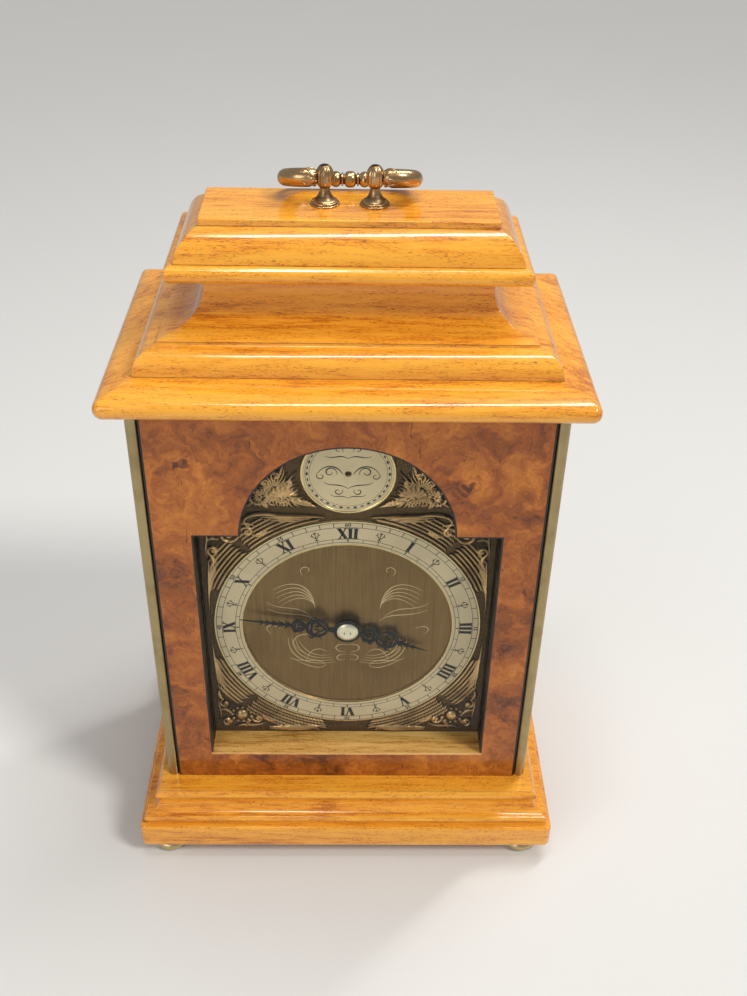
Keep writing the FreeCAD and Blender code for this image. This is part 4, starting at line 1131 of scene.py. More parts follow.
# ---------------------------------------------------------------- castings
@dataclass
class Relief:
    """Height field of a casting over a rectangle of the dial plate, on the right-hand side."""

    low: Pair
    high: Pair
    cell: float = 0.28

    def __post_init__(self) -> None:
        """Lay out the grid."""
        self.xs = np.arange(self.low[0], self.high[0] + self.cell / 2, self.cell)
        self.zs = np.arange(self.low[1], self.high[1] + self.cell / 2, self.cell)
        self.grid_x, self.grid_z = np.meshgrid(self.xs, self.zs)
        self.height = np.full(self.grid_x.shape, -0.12)

    def line(self, path: Sequence[Pair], widths: Sequence[float], rise: float) -> None:
        """Raise a round ridge along a path; widths are half widths from start to end.

        Args:
            path: Points of the ridge.
            widths: Half widths from start to end.
            rise: Height of the crest.
        """
        count = len(path) - 1
        spots = np.linspace(0, 1, len(widths))
        reach = max(widths)
        xs, zs = zip(*path)
        columns = slice(*np.searchsorted(self.xs, (min(xs) - reach, max(xs) + reach)))
        rows = slice(*np.searchsorted(self.zs, (min(zs) - reach, max(zs) + reach)))
        grid_x, grid_z = self.grid_x[rows, columns], self.grid_z[rows, columns]
        for i, ((ax, az), (bx, bz)) in enumerate(zip(path, path[1:])):
            dx, dz = bx - ax, bz - az
            length = max(dx * dx + dz * dz, 1e-9)
            share = np.clip(((grid_x - ax) * dx + (grid_z - az) * dz) / length, 0, 1)
            away = np.hypot(grid_x - ax - share * dx, grid_z - az - share * dz)
            width = np.interp((i + share) / count, spots, widths)
            fall = np.sqrt(np.clip(1 - (away / width) ** 2, 0, None))
            bar = np.where(away < width, rise * fall * np.clip(0.45 + 0.55 * width / reach, 0, 1), -0.12)
            self.height[rows, columns] = np.maximum(self.height[rows, columns], bar)

    def boss(self, x: float, z: float, radius: float, rise: float) -> None:
        """Raise a dome.

        Args:
            x: Across.
            z: Up.
            radius: Radius of the dome.
            rise: Its height.
        """
        away = np.hypot(self.grid_x - x, self.grid_z - z)
        dome = np.where(away < radius, rise * np.sqrt(np.clip(1 - (away / radius) ** 2, 0, None)), -0.12)
        self.height = np.maximum(self.height, dome)

    def bed(self, path: Sequence[Pair], width: float, rise: float) -> None:
        """Raise a low flat ground under finer work.

        Args:
            path: Middle line of the ground.
            width: Half width.
            rise: Its height.
        """
        for (ax, az), (bx, bz) in zip(path, path[1:]):
            dx, dz = bx - ax, bz - az
            share = np.clip(((self.grid_x - ax) * dx + (self.grid_z - az) * dz) / (dx * dx + dz * dz), 0, 1)
            away = np.hypot(self.grid_x - ax - share * dx, self.grid_z - az - share * dz)
            self.height = np.maximum(self.height, np.clip((width - away) / 0.5, -0.12, rise))

    def scroll(self, centre: Pair, radius: float, first: float, turns: float, width: float,
               rise: float) -> None:
        """C-scroll that winds in to a bead.

        Args:
            centre: Centre of the bead.
            radius: Radius where it starts.
            first: Angle where it starts, in degrees.
            turns: Turns, negative for clockwise.
            width: Half width of the ridge.
            rise: Height of the crest.
        """
        path = spiral(centre, radius, radius * 0.22, first, turns)
        self.line(path, [width * 0.7, width, width * 0.6], rise)
        self.boss(centre[0], centre[1], radius * 0.27, rise * 1.15)

    def leaf(self, root: Pair, tip: Pair, bend: float, width: float, rise: float) -> None:
        """Leaf with a bent midrib and side lobes.

        Args:
            root: Where it grows from.
            tip: Its point.
            bend: Sideways bow, as a share of its length.
            width: Half width of the midrib.
            rise: Height of the midrib.
        """
        run = Vector(tip) - Vector(root)
        side = Vector((-run.y, run.x)) * bend
        rib = bezier([root, tuple(Vector(root).lerp(Vector(tip), 0.5) + side * 2), tip], 12)
        self.line(rib, [width * 0.5, width * 0.42, width * 0.12], rise)
        for i in (2, 4, 6, 8):
            spot, ahead = Vector(rib[i]), Vector(rib[min(i + 3, 12)])
            along = ahead - spot
            across = Vector((-along.y, along.x)).normalized()
            reach = width * (1.15 - 0.09 * i)
            for hand in (-1, 1):
                lobe = spot + along * 0.7 + across * (hand * reach)
                self.line([tuple(spot), tuple(spot.lerp(lobe, 0.5) + along * 0.12), tuple(lobe)],
                          [width * 0.30, width * 0.30, width * 0.12], rise * 0.85)

    def barbs(self, rows: Sequence[Sequence[Pair]], length: float, tilt: float, width: float, rise: float,
              fits: Callable[[float, float], bool]) -> None:
        """Overlapping short strokes in rows, like the feathers of a wing.

        Args:
            rows: Paths that the strokes start from; each stroke points on along its row.
            length: Length of a stroke.
            tilt: Degrees that strokes turn away from the row, to its left.
            width: Half width of a stroke.
            rise: Height of a stroke.
            fits: Says whether a tip lies on the casting.
        """
        for number, row in enumerate(rows):
            for i in range(number % 2, len(row) - 1, 2):
                (ax, az), (bx, bz) = row[i], row[i + 1]
                angle = math.atan2(bz - az, bx - ax)
                turned = angle + math.radians(tilt)
                bend = (ax + 0.6 * length * math.cos(turned), az + 0.6 * length * math.sin(turned))
                tip = (bend[0] + 0.5 * length * math.cos(angle), bend[1] + 0.5 * length * math.sin(angle))
                if fits(ax, az) and fits(*bend) and fits(*tip):
                    barb = bezier([(ax, az), bend, tip], 4)
                    widths = [width * 0.45, width, width * 0.85, width * 0.3]
                    self.line(barb, widths, rise * (1.0 - 0.12 * (number % 2)))

    def burst(self, centre: Pair, near: float, far: float, count: int, width: float, rise: float,
              fits: Callable[[float, float], bool]) -> None:
        """Pointed strokes that radiate from a centre, each as long as the casting allows.

        Args:
            centre: Where they radiate from.
            near: Radius that they start at.
            far: Radius that they reach.
            count: Number of strokes.
            width: Half width.
            rise: Height.
            fits: Says whether a tip lies on the casting.
        """
        for i in range(count):
            angle = math.tau * i / count
            reach = far * (1.0 if i % 2 else 0.72)
            while reach > near + 0.8 and not fits(centre[0] + reach * math.cos(angle),
                                                   centre[1] + reach * math.sin(angle)):
                reach -= 0.4
            stroke = [(centre[0] + r * math.cos(a), centre[1] + r * math.sin(a)) for r, a in
                      ((near, angle), ((near + reach) / 2, angle + 0.10), (reach, angle))]
            self.line(stroke, [width * 0.7, width, width * 0.2], rise)

    def beads(self, path: Sequence[Pair], radius: float, rise: float) -> None:
        """Row of beads at the points of a path."""
        for x, z in path:
            self.boss(x, z, radius, rise)

    def into(self, piece: Piece, front: float, crest: float) -> None:
        """Add the casting and its mirror image to a piece, closed at the back.

        Args:
            piece: Piece to add to.
            front: Y of the plate that it lies on.
            crest: Height that counts as fully proud.
        """
        rows, columns = self.height.shape
        back = 0.25
        tall = self.height
        for side in (1, -1):
            top = [Vector((side * x, front - h, z))
                   for z, row in zip(self.zs, tall) for x, h in zip(self.xs, row)]
            under = [Vector((side * x, front + back, z)) for z in self.zs for x in self.xs]
            size = rows * columns
            faces = [(r * columns + c, r * columns + c + 1, (r + 1) * columns + c + 1, (r + 1) * columns + c)
                     for r in range(rows - 1) for c in range(columns - 1)]
            keep = [f for f in faces if max(tall[i // columns, i % columns] for i in f) > -0.1]
            used = self.walls(keep)
            floor = [tuple(size + i for i in reversed(f)) for f in keep]
            sides = [(a, b, size + b, size + a) for a, b in used]
            shades = list(np.clip(tall.ravel() / crest, 0, 1)) + [0.0] * size
            self.compact(piece, top + under, keep + floor + sides, shades)

    @staticmethod
    def walls(faces: Sequence[tuple[int, ...]]) -> list[tuple[int, int]]:
        """Edges used by one face only, in order."""
        edges = {(f[i], f[(i + 1) % 4]) for f in faces for i in range(4)}
        return sorted((b, a) for a, b in edges if (b, a) not in edges)

    @staticmethod
    def compact(piece: Piece, points: list[Vector], faces: list[tuple[int, ...]],
                shades: list[float]) -> None:
        """Add only the points that a face uses.

        Args:
            piece: Piece to add to.
            points: All points.
            faces: Faces that are kept.
            shades: How proud each point stands.
        """
        used = sorted({i for f in faces for i in f})
        place = {old: new for new, old in enumerate(used)}
        kept = [[place[i] for i in face] for face in faces]
        piece.add([points[i] for i in used], kept, [shades[i] for i in used])


# ---------------------------------------------------------------- dial
@dataclass
class Dial:
    """Break-arch dial with its ring, castings, disc and hands."""

    face: float = -24.6
    centre: float = 103.3
    ring_out: float = 50.9
    ring_in: float = 40.2
    ring_front: float = -25.5
    disc_z: float = 174.8
    disc_r: float = 16.0
    open_x: float = 54.2
    shoulder: float = 155.2
    arch_r: float = 37.8
    arch_z: float = 154.4

    def polar(self, minutes: float, radius: float) -> Pair:
        """Point of the dial at a minute mark and a radius."""
        angle = math.radians(6.0 * minutes)
        return radius * math.sin(angle), self.centre + radius * math.cos(angle)

    def build(self) -> None:
        """Make every piece of the dial."""
        self.plate()
        self.chapter_ring()
        self.markings()
        self.minute_numbers()
        self.engraving()
        self.corner_castings()
        self.arch_castings()
        self.arch_disc()
        self.minute_hand()
        self.hour_hand()
        self.nut()
        dress("dial_feet", MOVEMENT_BRASS)

    def plate(self) -> None:
        """Break-arch plate with a soft edge."""
        grow = 4.0
        half, radius, top = self.open_x + grow, self.arch_r + grow, self.shoulder + grow
        spring = math.sqrt(radius ** 2 - (top - self.arch_z) ** 2)
        edge = [(half, 42.8), (half, top), (spring, top)]
        edge += arc_through((spring, top), (0.0, self.arch_z + radius), (-spring, top), 48)
        edge += [(-half, top), (-half, 42.8)]
        piece = Piece("dial_plate_brushed")
        piece.plate(edge, on_dial(self.face), -1.6, 0.0)
        piece.make(PLATE_BRASS, "case", ["dial_plate"], 0.1)

    def chapter_ring(self) -> None:
        """Silvered ring with polished bevelled rims."""
        rise = self.face - self.ring_front
        profile = [(self.ring_in, 0.0), (self.ring_in, rise * 0.6), (self.ring_in + 0.35, rise),
                   (self.ring_out - 0.35, rise), (self.ring_out, rise * 0.6), (self.ring_out, 0.0)]
        piece = Piece("chapter_ring_silvered")
        piece.ring(profile, (0.0, self.face, self.centre), (0, -1, 0), 160)
        piece.make(SILVER, "case", ["chapter_ring"])
        rims = Piece("chapter_ring_rims")
        for radius in (self.ring_in + 0.1, self.ring_out - 0.1):
            band = [(radius - 0.22, rise * 0.5), (radius - 0.12, rise + 0.03), (radius + 0.12, rise + 0.03),
                    (radius + 0.22, rise * 0.5)]
            rims.ring(band, (0.0, self.face, self.centre), (0, -1, 0), 160)
        rims.make(RIM_BRASS, "case")

    def arc_line(self, piece: Piece, radius: float, width: float, start: float, end: float,
                 steps: int) -> None:
        """Thin line along the dial between two minutes.

        Args:
            piece: Piece to add to.
            radius: Radius of the line.
            width: Its width.
            start: First minute.
            end: Last minute.
            steps: Chords.
        """
        edge = [self.polar(start + (end - start) * i / steps, radius + width / 2) for i in range(steps + 1)]
        edge += [self.polar(end - (end - start) * i / steps, radius - width / 2) for i in range(steps + 1)]
        piece.plate(edge, on_dial(self.ring_front), -0.05, 0.015)

    def stroke(self, piece: Piece, minutes: float, start: Pair, end: Pair, width: float) -> None:
        """Straight stroke in the frame of a mark: across, and out from the centre.

        Args:
            piece: Piece to add to.
            minutes: The mark.
            start: First point.
            end: Last point.
            width: Its width.
        """
        (ax, ar), (bx, br) = start, end
        run = Vector((bx - ax, br - ar))
        aside = Vector((-run.y, run.x)).normalized() * (width / 2)
        corners = [(ax + aside.x, ar + aside.y), (bx + aside.x, br + aside.y), (bx - aside.x, br - aside.y),
                   (ax - aside.x, ar - aside.y)]
        edge = [self.at_mark(minutes, x, r) for x, r in corners]
        piece.plate(edge, on_dial(self.ring_front), -0.05, 0.02)

    def at_mark(self, minutes: float, across: float, radius: float) -> Pair:
        """Point beside a mark, with the sideways offset scaled so that strokes stay radial.

        Args:
            minutes: The mark.
            across: Sideways offset.
            radius: Distance from the centre.

        Returns:
            Point of the dial.
        """
        middle = 45.5
        angle = math.radians(6.0 * minutes) + across / middle
        return radius * math.sin(angle), self.centre + radius * math.cos(angle)

    def numeral(self, piece: Piece, text: str, minutes: float) -> None:
        """Roman numeral between the two tracks, standing with its feet to the centre.

        Args:
            piece: Piece to add to.
            text: The numeral.
            minutes: Where it stands.
        """
        low, high = 43.3, 47.75
        widths = {"I": 2.0, "V": 3.5, "X": 3.7}
        thick, thin, serif = 1.30, 0.46, 0.32
        across = -sum(widths[c] for c in text) / 2
        for letter in text:
            middle = across + widths[letter] / 2
            if letter == "I":
                self.stroke(piece, minutes, (middle, low), (middle, high), thick)
                spans = [(middle - 0.95, middle + 0.95, r) for r in (low, high)]
            elif letter == "V":
                self.stroke(piece, minutes, (middle - 1.15, high), (middle + 0.05, low), thick)
                self.stroke(piece, minutes, (middle + 1.25, high), (middle + 0.05, low), thin)
                spans = [(middle - 1.95, middle - 0.3, high), (middle + 0.6, middle + 1.8, high)]
            else:
                self.stroke(piece, minutes, (middle - 1.15, high), (middle + 1.15, low), thick)
                self.stroke(piece, minutes, (middle + 1.15, high), (middle - 1.15, low), thin)
                feet = (middle - 1.2, middle + 1.2)
                spans = [(foot - 0.75, foot + 0.75, r) for foot in feet for r in (low, high)]
            for start, end, radius in spans:
                self.stroke(piece, minutes, (start, radius), (end, radius), serif)
            across += widths[letter]

    def markings(self) -> None:
        """Tracks, numerals and half-hour marks in black wax."""
        piece = Piece("dial_markings")
        tracks = (50.2, 48.2, 42.95, 41.45)
        for radius in tracks:
            for quarter in range(4):
                self.arc_line(piece, radius, 0.20, 15.0 * quarter, 15.0 * (quarter + 1), 24)
        for minute in range(60):
            if minute % 5:
                self.stroke(piece, minute, (0.0, tracks[1]), (0.0, tracks[0]), 0.26)
        for quarter in range(48):
            self.stroke(piece, quarter * 1.25, (0.0, tracks[3]), (0.0, tracks[2]), 0.24)
        for hour, text in enumerate("XII I II III IIII V VI VII VIII IX X XI".split()):
            self.numeral(piece, text, 5.0 * hour)
            middle = (tracks[2] + tracks[3]) / 2
            diamond = [(0.0, middle - 0.62), (0.42, middle), (0.0, middle + 0.62), (-0.42, middle)]
            edge = [self.at_mark(5.0 * hour, x, r) for x, r in diamond]
            piece.plate(edge, on_dial(self.ring_front), -0.05, 0.02)
            self.half_hour(piece, 5.0 * hour + 2.5)
        piece.make(INK, "case", sharp=20.0)

    def half_hour(self, piece: Piece, minutes: float) -> None:
        """Three-pronged half-hour mark on a stem.

        Args:
            piece: Piece to add to.
            minutes: Where it stands.
        """
        self.stroke(piece, minutes, (0.0, 43.0), (0.0, 47.5), 0.30)
        for side in (-1, 1):
            for start, end in (((0.0, 44.3), (side * 1.1, 45.6)), ((side * 1.1, 45.5), (side * 1.25, 46.9)),
                               ((side * 1.75, 45.7), (side * 1.1, 46.1)), ((0.0, 46.4), (side * 0.6, 47.1)),
                               ((0.0, 43.9), (side * 0.75, 43.6))):
                self.stroke(piece, minutes, start, end, 0.30)

    def minute_numbers(self) -> None:
        """Small plain numbers in the minute track."""
        piece = Piece("dial_minute_numbers")
        for mark in range(12):
            number = str(mark * 5 or 60)
            flat = bpy.data.curves.new(f"number_{number}", "FONT")
            flat.body, flat.size, flat.align_x, flat.align_y = number, 2.05, "CENTER", "CENTER"
            flat.extrude, flat.offset = 0.03, 0.05
            holder = bpy.data.objects.new(flat.name, flat)
            shape = bpy.data.meshes.new_from_object(holder)
            points = []
            for vertex in shape.vertices:
                x, z = self.at_mark(5.0 * mark, vertex.co.x * 1.05, 49.2 + vertex.co.y)
                points.append(Vector((x, self.ring_front - vertex.co.z, z)))
            piece.add(points, [tuple(p.vertices) for p in shape.polygons])
            bpy.data.objects.remove(holder)
            bpy.data.curves.remove(flat)
            bpy.data.meshes.remove(shape)
        piece.make(INK, "case", sharp=20.0)

    def engraving(self) -> None:
        """Foliate scrollwork cut in the dial centre, the same on both sides."""
        piece = Piece("dial_engraving")
        place = on_dial(self.face)
        z0 = self.centre
        strokes = [
            (bezier([(12.0, z0 + 2.5), (16.5, z0 + 8.0), (22.5, z0 + 4.0), (30.5, z0 + 8.5)]), 0.24),
            (bezier([(14.0, z0 + 5.0), (19.5, z0 + 11.5), (25.0, z0 + 7.0), (31.0, z0 + 12.0)]), 0.20),
            (spiral((15.5, z0 + 27.5), 2.6, 0.8, -60.0, 0.9), 0.18),
            (bezier([(10.5, z0 - 5.0), (18.0, z0 - 1.5), (26.0, z0 - 8.0), (17.0, z0 - 14.0)]), 0.22),
            (bezier([(8.5, z0 - 20.5), (11.5, z0 - 15.5), (16.5, z0 - 20.0), (22.5, z0 - 16.5)]), 0.20),
            (bezier([(8.5, z0 - 20.5), (12.0, z0 - 23.5), (16.0, z0 - 20.5), (22.5, z0 - 16.5)]), 0.20),
            (bezier([(8.0, z0 - 13.5), (11.5, z0 - 10.0), (15.0, z0 - 12.5), (16.0, z0 - 17.5)]), 0.18),
            (bezier([(0.0, z0 - 9.6), (5.6, z0 - 8.2), (6.2, z0 - 13.2), (0.9, z0 - 13.4)]), 0.22),
            (bezier([(0.6, z0 - 14.6), (5.4, z0 - 14.4), (5.2, z0 - 18.8), (0.9, z0 - 17.4)]), 0.20),
            (bezier([(26.0, z0 - 1.0), (30.5, z0 + 1.5), (33.0, z0 - 1.0), (29.5, z0 - 4.0)]), 0.18),
        ]
        for k in range(5):
            wing = [(12.4, z0 + 9.0 + 0.5 * k), (13.2 + 0.9 * k, z0 + 20.5 - 1.2 * k),
                    (20.0, z0 + 24.0 - 2.3 * k), (28.0 - 0.5 * k, z0 + 18.0 - 2.1 * k)]
            strokes.append((bezier(wing), 0.23 - 0.015 * k))
        for k in range(4):
            sweep = [(23.0 - 1.4 * k, z0 - 6.0 - 0.4 * k), (23.5 - 2.2 * k, z0 - 17.5 + 1.1 * k),
                     (14.0 - 0.8 * k, z0 - 21.5 + 1.8 * k), (4.8 + 0.7 * k, z0 - 18.5 + 1.2 * k)]
            strokes.append((bezier(sweep), 0.22 - 0.02 * k))
        for path, width in strokes:
            for line in (path, mirrored(path)):
                piece.strand(line, place, [width * share for share in (0.25, 0.75, 0.6, 0.2)], 0.03, sides=6)
        piece.make(ENGRAVED, "case", sharp=60.0)

    def along_ring(self, first: float, last: float, gap: float, spread: float, steps: int = 14) -> list[Pair]:
        """Path beside the ring between two angles from twelve, with a growing gap.

        Args:
            first: First angle in degrees.
            last: Last angle.
            gap: Gap to the ring at the start.
            spread: How much the gap grows.
            steps: Chords.

        Returns:
            Points of the path.
        """
        path = []
        for i in range(steps + 1):
            share = i / steps
            minutes = (first + (last - first) * share) / 6.0
            path.append(self.polar(minutes, self.ring_out + gap + spread * share))
        return path

    def corner_castings(self) -> None:
        """Four corner spandrels: feathered wings beside the ring, curls and beads in the corner."""
        piece = Piece("corner_spandrels_cast")
        edge, shoulder = 52.7, self.shoulder - 1.0
        upper = Relief((6.0, 106.0), (53.4, 158.2), 0.24)
        gaps = (0.8, 2.4, 4.0, 5.6, 7.2, 8.8)
        upper.barbs([self.along_ring(44.0, 9.0, gap, 0.0, 46) for gap in gaps], 2.7, -34.0, 0.50, 1.2,
                    lambda x, z: x > 8.5 and z < (156.2 if x < 37.0 else shoulder) and z > 137.0)
        beside = [self.along_ring(46.0, 70.0 - 1.5 * k, gap, 0.0, 34) for k, gap in enumerate(gaps)]
        upper.barbs(beside, 2.7, 34.0, 0.50, 1.25, lambda x, z: x < edge - 0.6 and 121.0 < z < shoulder)
        for z, rise in ((156.9, 1.7), (155.9, 1.45), (154.8, 1.25)):
            blade = [(8.5 + 24.0 * (1.7 - rise), z - 1.2), (16.0, z - 0.2), (24.0, z - 0.8), (31.0, z)]
            upper.line(bezier(blade), [0.2, 0.62, 0.62, 0.25], rise)
        upper.line(bezier([(24.0, 156.4), (30.0, 157.6), (38.5, 158.2), (38.6, 153.6), (36.0, 151.5)]),
                   [0.35, 0.75, 0.7, 0.3], 1.6)
        for k in range(4):
            blade = [(51.2 - 1.2 * k, 136.0 + 2.4 * k), (51.6 - 0.9 * k, 129.0),
                     (52.5 - 0.4 * k, 122.0), (52.3, 109.0 + 3.4 * k)]
            upper.line(bezier(blade), [0.3, 0.55, 0.5, 0.18], 1.3 - 0.1 * k)
        self.corner_cluster(upper, 1.0, boss=0.0)
        upper.into(piece, self.face, 1.7)
        lower = Relief((6.0, 45.9), (53.4, 99.0), 0.24)
        lower.barbs([self.along_ring(136.0, 172.0, gap, 0.0, 46) for gap in gaps], 2.7, 34.0, 0.50, 1.2,
                    lambda x, z: x > 8.0 and 46.8 < z < 72.0)
        beside = [self.along_ring(134.0, 108.0 + 1.5 * k, gap, 0.0, 34) for k, gap in enumerate(gaps)]
        lower.barbs(beside, 2.7, -34.0, 0.50, 1.25, lambda x, z: x < edge - 0.6 and 47.0 < z < 88.0)
        for k in range(3):
            blade = [(8.5 + 2.5 * k, 49.4 - 0.9 * k), (17.0, 48.9 - 1.0 * k),
                     (25.0, 49.8 - 1.0 * k), (32.0, 48.6 - 0.6 * k)]
            lower.line(bezier(blade), [0.2, 0.62, 0.62, 0.25], 1.6 - 0.15 * k)
        for k in range(4):
            blade = [(51.2 - 1.2 * k, 70.0 - 2.4 * k), (51.6 - 0.9 * k, 77.0),
                     (52.5 - 0.4 * k, 85.0), (52.3, 97.0 - 3.0 * k)]
            lower.line(bezier(blade), [0.3, 0.55, 0.5, 0.18], 1.3 - 0.1 * k)
        self.corner_cluster(lower, -1.0, boss=2.7)
        lower.into(piece, self.face, 1.7)
        piece.make(CAST_BRASS, "case", ["corner_spandrels"], sharp=180.0)

    def corner_cluster(self, relief: Relief, up: float, boss: float) -> None:
        """Curls, leaves and beads that fill one corner; up is +1 at the top and -1 below.

        Args:
            relief: Casting to add to.
            up: +1 at the top and -1 below.
            boss: Radius of the boss, or 0 for a scroll.
        """
        x, z = 43.0, self.centre + up * (43.6 if up > 0 else 47.6)

        def at(dx: float, dz: float) -> Pair:
            """Point of the corner, with dz towards the outer edge."""
            return x + dx, z + up * dz

        relief.bed([at(-4.0, 0.5), at(0.0, 0.0), at(4.5, -4.0)], 3.0, 0.3)
        if boss:
            relief.boss(x, z, boss, 2.0)
            relief.beads([at(3.9 * math.cos(a), 3.9 * math.sin(a)) for a in
                          (math.tau * i / 11 for i in range(11))], 0.75, 1.1)
        else:
            relief.scroll(at(0.5, 0.8), 3.6, 210.0, 1.35 * up, 0.85, 1.6)
        relief.scroll(at(5.9, 3.6), 2.2, 90.0 * up, -1.2 * up, 0.7, 1.4)
        relief.scroll(at(-6.6, 2.2), 2.5, 20.0, 1.2 * up, 0.75, 1.5)
        relief.scroll(at(6.4, -6.4), 2.3, -70.0 * up, 1.2 * up, 0.7, 1.5)
        relief.leaf(at(-3.2, 3.4), at(-1.5, 7.6), 0.12, 1.25, 1.25)
        relief.leaf(at(3.4, 2.0), at(8.2, 6.4), -0.15, 1.2, 1.25)
        relief.leaf(at(4.4, -1.2), at(8.9, -2.6), 0.2, 1.15, 1.25)
        relief.leaf(at(-8.8, 0.6), at(-14.2, 3.6), 0.18, 1.4, 1.35)
        relief.leaf(at(7.2, -8.8), at(8.0, -14.4), -0.18, 1.3, 1.35)
        above = bezier([at(-9.5, 4.6), at(-5.0, 7.8), at(0.0, 4.0), at(3.0, 7.6)])
        relief.line(above, [0.3, 0.6, 0.5, 0.25], 1.15)
        beside = bezier([at(8.8, -9.5), at(9.6, -4.5), at(7.2, -1.0), at(9.0, 3.2)])
        relief.line(beside, [0.3, 0.55, 0.5, 0.25], 1.1)

    def arch_castings(self) -> None:
        """Shell, beaded scroll and leaves on each side of the disc."""
        relief = Relief((10.5, 158.8), (37.6, 180.5), 0.24)

        def fits(x: float, z: float) -> bool:
            """Whether a point lies between the disc and the arch."""
            return (math.hypot(x, z - self.arch_z) < self.arch_r - 2.0 and z > 159.5
                    and math.hypot(x, z - self.disc_z) > self.disc_r + 1.9)

        relief.bed([(21.0, 166.0), (27.0, 167.5), (31.0, 164.0)], 4.0, 0.3)
        relief.burst((25.6, 167.4), 2.0, 12.0, 30, 0.50, 1.15, fits)
        relief.burst((30.4, 164.4), 1.5, 6.5, 18, 0.45, 1.25, fits)
        relief.burst((22.0, 164.6), 1.5, 7.5, 18, 0.45, 1.25, fits)
        shell = (23.4, 164.4)
        for rib in range(7):
            angle = math.radians(25.0 + 22.0 * rib)
            tip = (shell[0] + 4.6 * math.cos(angle), shell[1] + 4.6 * math.sin(angle))
            relief.line([shell, tip], [0.35, 0.95], 1.5)
            relief.boss(tip[0], tip[1], 0.85, 1.6)
        relief.boss(shell[0], shell[1], 1.2, 1.7)
        relief.beads([(32.0 + 2.9 * math.cos(a), 164.2 + 2.9 * math.sin(a)) for a in
                      (math.radians(-200 + 26 * i) for i in range(12))], 0.72, 1.35)
        relief.scroll((32.0, 164.2), 1.7, 90.0, 1.1, 0.55, 1.3)
        relief.leaf((19.6, 163.2), (12.2, 160.8), -0.10, 1.3, 1.5)
        stem = bezier([(19.0, 162.6), (16.0, 161.4), (13.0, 161.6), (11.4, 160.4)])
        relief.line(stem, [0.8, 0.7, 0.3], 1.6)
        relief.scroll((25.2, 173.6), 2.2, -60.0, 1.3, 0.65, 1.4)
        relief.scroll((29.6, 170.6), 2.1, -100.0, -1.2, 0.6, 1.35)
        relief.scroll((20.8, 170.9), 1.7, 0.0, -1.2, 0.55, 1.3)
        for root, tip, bend in (((26.2, 175.4), (28.6, 178.6), 0.15), ((23.6, 174.6), (22.0, 178.2), -0.15),
                                ((31.6, 171.4), (35.0, 172.6), 0.2), ((33.6, 167.6), (36.8, 167.8), 0.2),
                                ((34.4, 162.6), (36.8, 160.6), -0.2), ((29.4, 161.6), (28.2, 159.8), 0.2)):
            relief.leaf(root, tip, bend, 1.05, 1.2)
        relief.beads([(21.6 + 0.9 * i, 160.9 + 0.05 * i) for i in range(8)], 0.5, 1.0)
        piece = Piece("arch_spandrels_cast")
        relief.into(piece, self.face, 1.7)
        piece.make(CAST_BRASS, "case", ["arch_spandrels"], sharp=180.0)

    def arch_disc(self) -> None:
        """Silvered disc with a gilt rim, a ring of dashes and a pen flourish."""
        place = on_dial(self.face - 1.0)
        disc = Piece("arch_disc_silvered")
        disc.ring([(1.2, 0.0), (1.2, 1.0), (self.disc_r, 1.0), (self.disc_r, 0.0)],
                  (0.0, self.face, self.disc_z), (0, -1, 0), 96)
        disc.make(CREAM, "case", ["arch_disc"])
        rim = Piece("arch_disc_rim_gilt")
        profile = outline([(self.disc_r, 0.0), (self.disc_r - 0.1, 1.0), ((self.disc_r + 0.45, 1.3),
                                                                       (self.disc_r + 0.95, 0.9)),
                           (self.disc_r + 1.0, 0.0)], 5)
        rim.ring(profile, (0.0, self.face, self.disc_z), (0, -1, 0), 96)
        rim.make(RIM_BRASS, "case", ["arch_disc_rim"])
        ink = Piece("arch_disc_dashes")
        count = 36
        for dash in range(count):
            angle = math.tau * dash / count
            half, radius = 0.062, self.disc_r - 1.5
            tall = 0.5 if dash % 2 else 0.32
            edge = [(angle - half, radius), (angle, radius + tall),
                    (angle + half, radius), (angle, radius - tall)]
            ink.plate([(r * math.sin(a), self.disc_z + r * math.cos(a)) for a, r in edge], place, -0.05, 0.02)
        for radius in (self.disc_r - 0.9, self.disc_r - 2.3):
            inner, outer = radius - 0.06, radius + 0.06
            ink.ring([(inner, 0.95), (inner, 1.02), (outer, 1.02), (outer, 0.95)],
                     (0.0, self.face, self.disc_z), (0, -1, 0), 96)
        z0 = self.disc_z
        strokes = [
            (spiral((6.4, z0 + 0.6), 2.6, 0.7, 200.0, -1.1), 0.20),
            (bezier([(1.8, z0 - 0.2), (4.0, z0 + 4.2), (8.5, z0 + 4.0), (10.6, z0 + 0.4)]), 0.22),
            (spiral((9.6, z0 - 1.0), 1.8, 0.5, 60.0, -1.0), 0.16),
            (bezier([(0.0, z0 - 6.2), (3.2, z0 - 3.6), (6.8, z0 - 5.6), (8.6, z0 - 3.4)]), 0.18),
            (spiral((3.6, z0 - 7.4), 1.8, 0.5, 150.0, 1.0), 0.17),
            (bezier([(0.0, z0 - 10.4), (2.4, z0 - 8.4), (4.6, z0 - 10.6), (6.2, z0 - 8.8)]), 0.15),
            (bezier([(0.0, z0 + 6.4), (3.0, z0 + 8.6), (5.6, z0 + 5.6), (8.0, z0 + 7.4)]), 0.18),
            (spiral((3.4, z0 + 10.0), 1.7, 0.5, -150.0, -1.0), 0.16),
        ]
        for path, width in strokes:
            for line in (path, mirrored(path)):
                ink.strand(line, place, [width * 0.5, width * 1.35, width, width * 0.5], 0.02, sides=6)
        ink.make(INK, "case", sharp=40.0)

    def hand_place(self, degrees: float, rear: float) -> Place:
        """Placing for a hand drawn pointing to twelve about the origin.

        Args:
            degrees: Where the hand points, clockwise from twelve.
            rear: Y of its rear face.

        Returns:
            The placing.
        """
        angle = math.radians(degrees)

